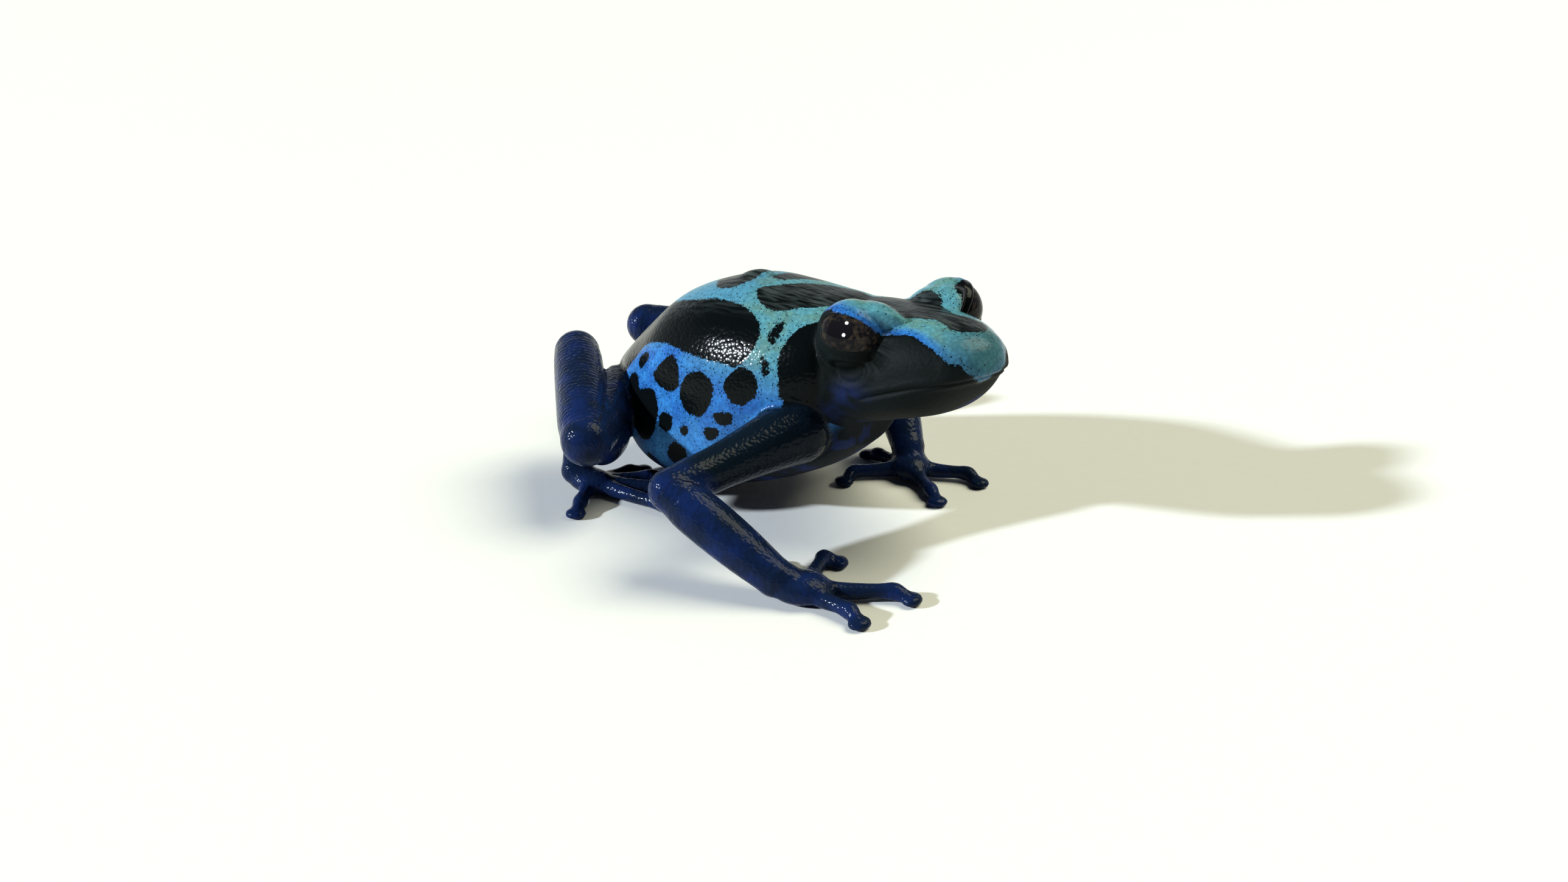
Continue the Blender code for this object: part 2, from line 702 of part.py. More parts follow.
def build_leg(side, trunk, work, cutters, collection):
    """One folded leg: thigh, shank, tarsus, foot and five toes."""
    leg = LEGS[side]
    bm = bmesh.new()
    add_limb(bm, blend_radii(leg["hip"], leg["knee"], THIGH_RADII))
    run = Vector(leg["knee"]) - Vector(leg["hip"])
    x, y, z = between(leg["hip"], leg["knee"], 0.5)
    add_ball(bm, (x, y, z - THIGH_SAG), THIGH_BULK, math.atan2(run.y, run.x))
    add_limb(bm, blend_radii(leg["knee"], leg["heel"], SHANK_RADII))
    add_limb(bm, blend_radii(leg["heel"], leg["ankle"], TARSUS_RADII))
    add_limb(bm, blend_radii(leg["ankle"], leg["sole"], ANKLE_RADII))
    run = Vector(leg["sole"]) - Vector(leg["ankle"])
    add_ball(bm, leg["sole"], SOLE_RADII, math.atan2(run.y, run.x))
    toes = fan_toes(side)
    for joint, disc in toes:
        add_digit(bm, (*leg["sole"][:2], SOLE_ROOT), joint, disc, TOE_RADII)
    whole = fuse(f"leg_{side}", bm, LIMB_VOXEL, LIMB_ROUNDS, LEG_TRIANGLES, work)
    carve(whole, trunk, cutters)
    cut_floor(whole, cutters)
    thigh = (Vector(leg["hip"]) - Vector(leg["knee"])).normalized()
    shank = (Vector(leg["heel"]) - Vector(leg["knee"])).normalized()
    tarsus = (Vector(leg["ankle"]) - Vector(leg["heel"])).normalized()
    slit(whole, leg["knee"], thigh - shank, KNEE_SLAB, cutters, along=thigh + shank)
    slit(whole, leg["heel"], -shank - tarsus, HEEL_SLAB, cutters, along=tarsus - shank)
    slit(whole, leg["ankle"], Vector(leg["sole"]) - Vector(leg["heel"]), ANKLE_SLAB, cutters)
    slit_digits(whole, leg["sole"], toes, TOE_START, cutters)
    anchors = {
        f"thigh_{side}": between(leg["hip"], leg["knee"], 0.5),
        f"shank_{side}": between(leg["knee"], leg["heel"], 0.5),
        f"tarsus_{side}": between(leg["heel"], leg["ankle"], 0.55),
        f"foot_{side}": leg["sole"],
        **digit_anchors("toe", side, leg["sole"], toes, TOE_START),
    }
    return part_out(whole, anchors, collection)


def dress(thing, colour, roughness):
    """Give a piece its own material and shade it smooth."""
    finish = bpy.data.materials.new(f"{thing.name}_skin")
    finish.use_nodes = True
    surface = finish.node_tree.nodes["Principled BSDF"]
    surface.inputs["Base Color"].default_value = (*colour, 1.0)
    surface.inputs["Roughness"].default_value = roughness
    surface.inputs["Metallic"].default_value = 0.0
    thing.data.materials.clear()
    thing.data.materials.append(finish)
    thing.data.shade_smooth()
    thing.data.set_sharp_from_angle(angle=math.radians(40.0))


def finish_for(name):
    """Colour and roughness of a piece by its name."""
    if name.startswith("eye"):
        return BLACK, 0.05
    if name == "head":
        return TEAL, 0.3
    if name == "torso":
        return BLUE, 0.3
    return NAVY, 0.35


def centre_on_floor(pieces):
    """Slide the whole frog so that the middle of its box stands over the origin."""
    corners = [piece.matrix_world @ Vector(corner) for piece in pieces for corner in piece.bound_box]
    lows = [min(corner[axis] for corner in corners) for axis in range(3)]
    highs = [max(corner[axis] for corner in corners) for axis in range(3)]
    shift = Vector((-(lows[0] + highs[0]) * 0.5, -(lows[1] + highs[1]) * 0.5, -lows[2]))
    for piece in pieces:
        piece.data.transform(Matrix.Translation(shift))


def main():
    """Build the frog."""
    clear_scene()
    frog = new_collection("blue_poison_dart_frog")
    work = new_collection("whole_forms")
    cutters = new_collection("cutters")
    trunk = build_trunk(work)
    pieces = []
    for side in ("right", "left"):
        pieces += build_arm(side, trunk, work, cutters, frog)
        pieces += build_leg(side, trunk, work, cutters, frog)
    for side, sign in (("left", 1), ("right", -1)):
        pieces.append(build_eye(sign, f"eye_{side}", frog))
    detail_head(trunk, cutters)
    neck = head_matrix() @ point(NECK_CUT) / MM
    slit(trunk, neck, head_matrix().to_3x3() @ Vector((1.0, 0.0, 0.0)), NECK_SLAB, cutters)
    pieces += part_out(trunk, TRUNK_ANCHORS, frog)
    for piece in pieces:
        dress(piece, *finish_for(piece.name))
    centre_on_floor(pieces)


main()
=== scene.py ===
"""Blue poison dart frog: the skin, eyes, colours, light and camera of a still life-size model.

The skin is shaped in the frog's working frame, in millimetres, with the head towards +X and the left
side at +Y. It is one closed surface over the same rounded masses as the solids, with lids, lips,
nostrils, ears, folds and creases pressed into it, and it is slid onto the solids when it is done.
"""

import logging
import math
from collections.abc import Callable
from dataclasses import dataclass, field
from enum import Enum

import bmesh
import bpy
import numpy as np
from mathutils import Euler, Matrix, Vector
from mathutils.bvhtree import BVHTree


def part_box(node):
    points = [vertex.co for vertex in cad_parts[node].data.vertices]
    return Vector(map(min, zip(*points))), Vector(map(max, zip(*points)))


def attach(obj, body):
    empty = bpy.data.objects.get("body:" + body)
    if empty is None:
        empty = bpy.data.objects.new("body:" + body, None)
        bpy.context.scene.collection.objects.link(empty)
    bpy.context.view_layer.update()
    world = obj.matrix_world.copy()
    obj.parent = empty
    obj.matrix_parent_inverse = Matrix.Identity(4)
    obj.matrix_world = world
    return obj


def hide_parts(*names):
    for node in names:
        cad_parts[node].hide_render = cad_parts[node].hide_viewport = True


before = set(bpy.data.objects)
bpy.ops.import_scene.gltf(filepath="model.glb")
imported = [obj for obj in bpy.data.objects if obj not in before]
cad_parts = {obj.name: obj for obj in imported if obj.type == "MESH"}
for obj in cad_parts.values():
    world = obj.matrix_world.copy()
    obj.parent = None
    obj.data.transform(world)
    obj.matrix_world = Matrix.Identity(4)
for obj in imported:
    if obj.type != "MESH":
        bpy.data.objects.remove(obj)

LOG = logging.getLogger("frog")
MM = 0.001

Place = tuple[float, float, float]
Colour = tuple[float, float, float]
Spot = tuple[tuple[float, float], ...]
Shape = Callable[[float, float], Vector]


class Side(Enum):
    """A side of the frog, by the sign of its Y."""

    RIGHT = -1
    LEFT = 1

    @property
    def word(self) -> str:
        """The side's name, as the nodes have it."""
        return self.name.lower()


def smoothstep(low: float, high: float, value: np.ndarray) -> np.ndarray:
    """Ease from 0 to 1 between two limits.

    Args:
        low: Where the ease begins.
        high: Where the ease ends, which may be below low.
        value: The values to ease.

    Returns:
        The eased values.
    """
    part = np.clip((value - low) / (high - low), 0.0, 1.0)
    return part * part * (3.0 - 2.0 * part)


def bell(value: np.ndarray, width: float) -> np.ndarray:
    """A smooth bump of height 1 round zero."""
    return np.exp(-((value / width) ** 2))


def smooth_run(keys: np.ndarray, step: float) -> np.ndarray:
    """Read rows from one smooth curve through key rows.

    Args:
        keys: Rows whose first three columns are a place in millimetres.
        step: Distance between the rows that are read.

    Returns:
        The rows along the curve, the last key among them.
    """
    keys = np.array([tuple(key) for key in keys], dtype=float)
    spans = np.linalg.norm(np.diff(keys[:, :3], axis=0), axis=1)
    along = np.concatenate(([0.0], np.cumsum(spans)))
    slopes = np.gradient(keys, along, axis=0)
    rows = []
    for start, (near, far) in enumerate(zip(along[:-1], along[1:])):
        span = far - near
        for part in np.arange(0.0, 1.0, 1.0 / max(1, round(span / step))):
            square, cube = part * part, part**3
            rows.append(
                keys[start] * (2 * cube - 3 * square + 1)
                + slopes[start] * span * (cube - 2 * square + part)
                + keys[start + 1] * (3 * square - 2 * cube)
                + slopes[start + 1] * span * (cube - square)
            )
    rows.append(keys[-1])
    return np.array(rows)


def straight_limb(start: Place, end: Place, radii: tuple[float, ...]) -> list[tuple[float, ...]]:
    """Key rows of a straight limb, its radii spread evenly from start to end."""
    begin, finish = np.array(start), np.array(end)
    parts = np.linspace(0.0, 1.0, len(radii))
    return [(*(begin + (finish - begin) * part), radius) for part, radius in zip(parts, radii)]


@dataclass(frozen=True)
class HeadPose:
    """Where the head is and how it is turned and raised from the trunk's line."""

    centre: Place = (13.9, 0.5, 19.3)
    turn: float = -15.6
    raised: float = 12.9

    def matrix(self) -> Matrix:
        """Place the head's own axes in the working frame."""
        turn = Euler((0.0, math.radians(-self.raised), math.radians(self.turn)), "XYZ")
        return Matrix.Translation(self.centre) @ turn.to_matrix().to_4x4()

    def local(self, places: np.ndarray) -> np.ndarray:
        """Turn working places into the head's own axes."""
        turn = np.array(self.matrix().to_3x3())
        return (places - np.array(self.centre)) @ turn


@dataclass(frozen=True)
class Section:
    """One cross-section of the trunk or head: its place, width, height, middle, and how square it is.

    Squareness is that of the upper half and sag that of the lower: 2 is an ellipse.
    """

    x: float
    half_width: float
    top: float
    bottom: float
    widest: float
    squareness: float = 2.3
    middle: float = 0.0
    sag: float = 2.3

    def row(self) -> tuple[float, ...]:
        """The section as a key row."""
        return (
            self.x, self.middle, 0.0,
            self.half_width, self.top, self.bottom, self.widest, self.squareness, self.sag,
        )


class Mass:
    """Overlapping rounded forms of one body region, which the skin is drawn over."""

    def __init__(self, name: str) -> None:
        """Start an empty mass.

        Args:
            name: The region's name.
        """
        self.name = name
        self.bm = bmesh.new()

    def ring(self, places: Shape, sides: int) -> list[bmesh.types.BMEdge]:
        """Add one ring of a loft.

        Args:
            places: Turns the cosine and sine round the ring into a place.
            sides: Sides of the ring.

        Returns:
            The ring's edges.
        """
        verts = bmesh.ops.create_circle(self.bm, segments=sides, radius=1.0)["verts"]
        edges = list(dict.fromkeys(edge for vert in verts for edge in vert.link_edges))
        for vert in verts:
            vert.co = places(vert.co.x, vert.co.y)
        return edges

    def loft(self, shapes: list[Shape], sides: int) -> None:
        """Bridge rings into one tube that is closed at its ends."""
        rings = [self.ring(shape, sides) for shape in shapes]
        for near, far in zip(rings[:-1], rings[1:]):
            bmesh.ops.bridge_loops(self.bm, edges=near + far)
        for ring in (rings[0], rings[-1]):
            bmesh.ops.contextual_create(self.bm, geom=ring)

    def ball(self, centre: Place, radii: Place, turn: float = 0.0, axes: Matrix | None = None) -> None:
        """Add an ellipsoid.

        Args:
            centre: Its middle.
            radii: Its three radii.
            turn: Its turn about the vertical.
            axes: The axes that the centre is given in, the working frame's by default.
        """
        size = Matrix.Diagonal((*radii, 1.0))
        place = (axes or Matrix.Identity(4)) @ Matrix.Translation(centre)
        place = place @ Matrix.Rotation(turn, 4, "Z") @ size
        bmesh.ops.create_uvsphere(self.bm, u_segments=28, v_segments=16, radius=1.0, matrix=place)

    def sections(self, sections: tuple[Section, ...], axes: Matrix) -> None:
        """Loft a trunk or head through its sections."""
        keys = [section.row() for section in sections]
        rows = smooth_run(keys, 0.5)
        self.loft([self.section_shape(row, axes) for row in rows], 56)

    @staticmethod
    def section_shape(row: np.ndarray, axes: Matrix) -> Shape:
        """The outline of one section.

        Args:
            row: A row made of a Section's fields.
            axes: The axes that the section is given in.

        Returns:
            A function from the cosine and sine round the ring to a place.
        """
        x, middle, _, half_width, top, bottom, widest, squareness, sag = row

        def shape(cosine: float, sine: float) -> Vector:
            """A place on the outline."""
            rise = top - widest if sine > 0 else widest - bottom
            power = 2.0 / (squareness if sine > 0 else sag)
            across = middle + half_width * math.copysign(abs(cosine) ** power, cosine)
            height = widest + rise * math.copysign(abs(sine) ** power, sine)
            return axes @ Vector((x, across, height))

        return shape

    def limb(self, keys: list[tuple[float, ...]], step: float = 0.4, sides: int = 20) -> None:
        """Loft a limb through rows of x, y, z and radius, with its ends rounded."""
        rows = smooth_run(keys, step)
        lines = np.gradient(rows[:, :3], axis=0)
        shapes = []
        for row, line in zip(rows, lines):
            along = Vector(line).normalized()
            across = along.cross(Vector((0.31, 0.17, 0.93))).normalized()
            upward = across.cross(along)
            shapes.append(self.round_shape(Vector(row[:3]), across * row[3], upward * row[3]))
        self.loft(shapes, sides)
        for row in (rows[0], rows[-1]):
            self.ball(tuple(row[:3]), (row[3],) * 3)

    @staticmethod
    def round_shape(centre: Vector, across: Vector, upward: Vector) -> Shape:
        """A round section of a limb, as a function of the cosine and sine round it."""
        return lambda cosine, sine: centre + across * cosine + upward * sine

    def finish(self) -> BVHTree:
        """Turn every face outwards and make a search tree of the mass."""
        bmesh.ops.recalc_face_normals(self.bm, faces=self.bm.faces[:])
        return BVHTree.FromBMesh(self.bm)

    def box(self) -> tuple[np.ndarray, np.ndarray]:
        """The lowest and highest corners of the mass."""
        places = np.array([vert.co for vert in self.bm.verts])
        return places.min(axis=0), places.max(axis=0)


@dataclass(frozen=True)
class Eyes:
    """The eyes and lids: sizes, place in the head's axes and line of sight."""

    radius: float = 2.76
    centre: Place = (-0.7, 5.75, -0.1)
    forward: float = 30.0
    up: float = 15.0
    dome: float = 3.05
    dome_drop: float = -0.18
    lid_reach: tuple[float, float] = (1.24, 0.6)
    lid_tilt: float = 22.0
    lid_shift: tuple[float, float] = (0.26, 0.03)
    upper_crest: float = 3.0
    lower_crest: float = 2.86
    under_lid: float = 2.3

    def middle(self, side: Side) -> Place:
        """The eye's centre on one side, in the head's axes."""
        return (self.centre[0], side.value * self.centre[1], self.centre[2])

    def matrix(self, head: HeadPose, side: Side) -> Matrix:
        """The eye's own axes: x level, y up the lids, z along the line of sight."""
        turn, tip = math.radians(self.forward), math.radians(self.up)
        sight = Vector(
            (math.sin(turn) * math.cos(tip), side.value * math.cos(turn) * math.cos(tip), math.sin(tip))
        )
        level = Vector((0.0, 0.0, 1.0)).cross(sight).normalized()
        axes = Matrix((level, sight.cross(level), sight)).transposed().to_4x4()
        return head.matrix() @ Matrix.Translation(self.middle(side)) @ axes


@dataclass(frozen=True)
class Trunk:
    """The torso and head with their swellings."""

    torso: tuple[Section, ...] = (
        Section(-20.1, 1.2, 9.9, 6.8, 8.6, 2.0, sag=2.0),
        Section(-19.0, 2.7, 11.0, 5.0, 8.4, 2.0, sag=2.0),
        Section(-16.8, 4.8, 13.0, 3.2, 8.0, 2.0, sag=2.3),
        Section(-13.4, 7.0, 16.0, 1.7, 7.6, 2.0, sag=2.7),
        Section(-9.5, 8.7, 18.9, 1.2, 7.6, 2.2, sag=3.0),
        Section(-5.5, 9.4, 20.5, 1.2, 8.2, sag=2.9),
        Section(-2.0, 9.6, 21.3, 1.5, 8.8, sag=2.7),
        Section(2.0, 9.3, 21.2, 2.5, 10.0, sag=2.5),
        Section(5.5, 8.6, 20.9, 3.9, 11.5),
        Section(8.5, 7.5, 20.6, 5.6, 13.0),
        Section(11.0, 5.6, 19.8, 7.7, 14.0),
    )
    head: tuple[Section, ...] = (
        Section(-8.9, 6.6, 2.6, -8.6, -4.6, middle=-2.2),
        Section(-6.4, 7.3, 2.4, -8.7, -4.8, middle=-1.2),
        Section(-3.2, 7.2, 1.9, -8.6, -4.9, middle=-0.3),
        Section(0.0, 6.7, 1.3, -8.3, -4.8),
        Section(2.7, 6.1, 0.8, -8.0, -4.6, 2.45),
        Section(5.0, 5.3, 0.2, -7.6, -4.3, 2.55),
        Section(7.0, 4.2, -0.6, -6.5, -4.0, 2.4),
        Section(8.3, 3.1, -1.3, -5.2, -3.6, 2.3),
        Section(9.0, 2.1, -2.0, -4.5, -3.3),
        Section(9.3, 1.2, -2.5, -4.1, -3.2, 2.0),
    )
    hump: tuple[Place, Place] = ((-1.8, 0.0, 18.2), (3.6, 3.0, 3.5))
    brow: tuple[Place, Place] = ((-0.4, 4.3, -0.4), (4.1, 3.0, 2.9))
    shoulder: tuple[Place, Place] = ((6.0, 5.4, 11.0), (3.6, 3.4, 4.2))

    def masses(self, pose: HeadPose, eyes: Eyes) -> list[Mass]:
        """Build the torso and the head as two overlapping masses.

        Args:
            pose: Where the head is.
            eyes: The eyes, for the domes over them.

        Returns:
            The torso and the head.
        """
        axes = pose.matrix()
        torso, head = Mass("torso"), Mass("head")
        torso.sections(self.torso, Matrix.Identity(4))
        head.sections(self.head, axes)
        torso.ball(*self.hump)
        for side in Side:
            (x, y, z), radii = self.brow
            head.ball((x, side.value * y, z), radii, axes=axes)
            (x, y, z), radii = self.shoulder
            torso.ball((x, side.value * y, z), radii)
            head.ball((0.0, 0.0, eyes.dome_drop), (eyes.dome,) * 3, axes=eyes.matrix(pose, side))
        return [torso, head]


@dataclass(frozen=True)
class Digit:
    """A finger or toe in plan: its last joint and its disc."""

    joint: tuple[float, float]
    disc: tuple[float, float]

    radii: tuple[float, float, float, float] = (0.95, 0.72, 0.78, 0.6)
    disc_radii: Place = (0.9, 1.05, 0.5)
    knuckle_height: float = 0.82
    disc_height: float = 0.42
    shaft_height: float = 0.86

    def add(self, mass: Mass, root: Place) -> None:
        """Add the digit to a hand or foot, from its root in the palm or sole."""
        base, shaft, knuckle, neck = self.radii
        start = Vector(root)
        joint = Vector((*self.joint, self.knuckle_height))
        disc = Vector((*self.disc, self.disc_height))
        middle = start.lerp(joint, 0.55)
        middle.z = self.shaft_height
        mass.limb(
            [
                (*start, base),
                (*middle, shaft),
                (*start.lerp(joint, 0.86), shaft * 0.93),
                (*joint, knuckle),
                (*joint.lerp(disc, 0.55), neck),
                (*disc, neck * 0.8),
            ],
            0.35,
            16,
        )
        turn = math.atan2(disc.y - joint.y, disc.x - joint.x)
        mass.ball(tuple(disc), self.disc_radii, turn)


@dataclass(frozen=True)
class Arm:
    """One arm: its joints, and the digits of its hand."""

    side: Side
    shoulder: Place
    elbow: Place
    wrist: Place
    palm: Place
    digits: tuple[Digit, ...]
    upper_radii: tuple[float, ...] = (3.1, 2.4, 1.95, 2.05)
    fore_radii: tuple[float, ...] = (2.0, 2.1, 1.98, 1.65)
    wrist_radii: tuple[float, ...] = (1.7, 1.5, 1.25)
    palm_radii: Place = (2.6, 2.0, 1.35)
    root_height: float = 1.1

    def masses(self) -> list[Mass]:
        """Build the upper arm, forearm and hand."""
        upper = Mass(f"upper_arm_{self.side.word}")
        fore = Mass(f"forearm_{self.side.word}")
        hand = Mass(f"hand_{self.side.word}")
        upper.limb(straight_limb(self.shoulder, self.elbow, self.upper_radii))
        fore.limb(straight_limb(self.elbow, self.wrist, self.fore_radii))
        hand.limb(straight_limb(self.wrist, self.palm, self.wrist_radii))
        run = Vector(self.palm) - Vector(self.wrist)
        hand.ball(self.palm, self.palm_radii, math.atan2(run.y, run.x))
        for digit in self.digits:
            digit.add(hand, (*self.palm[:2], self.root_height))
        return [upper, fore, hand]

    def nodes(self) -> list[str]:
        """The solids that the skin stands for on this arm."""
        names = [f"{kind}_{self.side.word}" for kind in ("upper_arm", "forearm", "palm")]
        return names + [f"finger_{number}_{self.side.word}" for number in range(1, len(self.digits) + 1)]

    def bones(self) -> list[tuple[Place, Place]]:
        """The straight lines inside the arm."""
        return [(self.shoulder, self.elbow), (self.elbow, self.wrist)]


@dataclass(frozen=True)
class Leg:
    """One folded leg: its joints, and the toes that fan out from its sole."""

    side: Side
    hip: Place
    knee: Place
    heel: Place
    ankle: Place
    sole: Place
    thigh_radii: tuple[float, ...] = (2.4, 2.35, 2.4, 2.55)
    thigh_bulk: Place = (5.2, 2.35, 3.2)
    thigh_sag: float = 1.7
    shank_radii: tuple[float, ...] = (2.55, 2.55, 2.5, 2.4)
    tarsus_radii: tuple[float, ...] = (2.0, 1.25, 1.2, 1.35)
    ankle_radii: tuple[float, ...] = (1.45, 1.2)
    sole_radii: Place = (2.6, 1.7, 1.2)
    toe_fan: Spot = ((6.3, 80.0), (7.8, 54.0), (9.8, 28.5), (11.4, 3.0), (5.9, -59.0))
    toe_radii: tuple[float, float, float, float] = (0.9, 0.72, 0.78, 0.6)
    last_joint: float = 1.9
    root_height: float = 1.05

    def digits(self) -> list[Digit]:
        """The toes, spread from the sole."""
        toes = []
        sole = Vector(self.sole).to_2d()
        for reach, bearing in self.toe_fan:
            angle = -self.side.value * math.radians(bearing)
            run = Vector((math.cos(angle), math.sin(angle)))
            joint, disc = sole + run * (reach - self.last_joint), sole + run * reach
            toes.append(Digit(tuple(joint), tuple(disc), self.toe_radii))
        return toes

    def masses(self) -> list[Mass]:
        """Build the thigh, shank, tarsus and foot."""
        word = self.side.word
        thigh, shank = Mass(f"thigh_{word}"), Mass(f"shank_{word}")
        tarsus, foot = Mass(f"tarsus_{word}"), Mass(f"foot_{word}")
        thigh.limb(straight_limb(self.hip, self.knee, self.thigh_radii))
        run = Vector(self.knee) - Vector(self.hip)
        x, y, z = Vector(self.hip).lerp(Vector(self.knee), 0.5)
        thigh.ball((x, y, z - self.thigh_sag), self.thigh_bulk, math.atan2(run.y, run.x))
        shank.limb(straight_limb(self.knee, self.heel, self.shank_radii))
        tarsus.limb(straight_limb(self.heel, self.ankle, self.tarsus_radii))
        foot.limb(straight_limb(self.ankle, self.sole, self.ankle_radii))
        run = Vector(self.sole) - Vector(self.ankle)
        foot.ball(self.sole, self.sole_radii, math.atan2(run.y, run.x))
        for digit in self.digits():
            digit.add(foot, (*self.sole[:2], self.root_height))
        return [thigh, shank, tarsus, foot]

    def nodes(self) -> list[str]:
        """The solids that the skin stands for on this leg."""
        names = [f"{kind}_{self.side.word}" for kind in ("thigh", "shank", "tarsus", "foot")]
        return names + [f"toe_{number}_{self.side.word}" for number in range(1, len(self.toe_fan) + 1)]

    def bones(self) -> list[tuple[Place, Place]]:
        """The straight lines inside the leg."""
        return [(self.hip, self.knee), (self.knee, self.heel), (self.heel, self.ankle)]


@dataclass(frozen=True)
class Outline:
    """A marking's edge: a few places of a body map, joined by one smooth closed curve."""

    points: Spot
    unit: float = 1.0

    def curve(self, pieces: int = 6) -> np.ndarray:
        """Round the outline off.

        Args:
            pieces: Short straight pieces between two given places.

        Returns:
            The places of the rounded edge.
        """
        keys = np.array(self.points, dtype=float)
        before, after = np.roll(keys, 1, axis=0), np.roll(keys, -1, axis=0)
        beyond = np.roll(keys, -2, axis=0)
        rows = []
        for part in np.arange(pieces) / pieces:
            rows.append(
                0.5
                * (
                    2.0 * keys
                    + (after - before) * part
                    + (2.0 * before - 5.0 * keys + 4.0 * after - beyond) * part**2
                    + (3.0 * keys - before - 3.0 * after + beyond) * part**3
                )
            )
        return np.stack(rows, axis=1).reshape(-1, 2)

    def depth(self, places: np.ndarray) -> np.ndarray:
        """How far inside the outline each place is, in millimetres, and below zero outside it."""
        edge = self.curve()
        after = np.roll(edge, -1, axis=0)
        nearest = np.full(len(places), np.inf)
        inside = np.zeros(len(places), dtype=bool)
        for (ax, ay), (bx, by) in zip(edge, after):
            run = np.array((bx - ax, by - ay))
            offset = places - np.array((ax, ay))
            part = np.clip(offset @ run / max(run @ run, 1e-9), 0.0, 1.0)
            gap = offset - part[:, None] * run
            nearest = np.minimum(nearest, (gap**2).sum(axis=1))
            crosses = (ay > places[:, 1]) != (by > places[:, 1])
            if ay != by:
                reach = (bx - ax) * (places[:, 1] - ay) / (by - ay) + ax
                inside ^= crosses & (places[:, 0] < reach)
        return np.where(inside, 1.0, -1.0) * np.sqrt(nearest) * self.unit


@dataclass(frozen=True)
class TrunkMap:
    """The torso unrolled: distance along the frog, and distance round it from the mid-back."""

    stations: tuple[float, ...] = (-19.3, -9.0, 2.0, 11.0)
    heights: tuple[float, ...] = (8.2, 8.8, 11.0, 14.5)
    girth: float = 9.5

    def places(self, points: np.ndarray) -> np.ndarray:
        """Map working places, with the right side above zero and the left side below."""
        middle = np.interp(points[:, 0], self.stations, self.heights)
        return np.stack(
            (points[:, 0], self.girth * np.arctan2(-points[:, 1], points[:, 2] - middle)), axis=1
        )


@dataclass(frozen=True)
class HeadMap:
    """The head seen from its crown: the angle down from the crown, in the direction round the head."""

    centre: Place = (0.5, 0.0, -3.5)

    def places(self, points: np.ndarray) -> np.ndarray:
        """Map places in the head's axes; the snout is at +X and the right side at +Y."""
        offset = points - np.array(self.centre)
        flat = np.hypot(offset[:, 0], offset[:, 1])
        down = 90.0 - np.degrees(np.arctan2(offset[:, 2], flat))
        scale = down / np.maximum(flat, 1e-6)
        return np.stack((offset[:, 0] * scale, -offset[:, 1] * scale), axis=1)

    @staticmethod
    def outline(points: Spot, degree: float = 0.12) -> Outline:
        """An outline from directions round the head and heights above its level, in degrees."""
        rows = []
        for bearing, height in points:
            angle, down = math.radians(bearing), 90.0 - height
            rows.append((down * math.cos(angle), down * math.sin(angle)))
        return Outline(tuple(rows), degree)


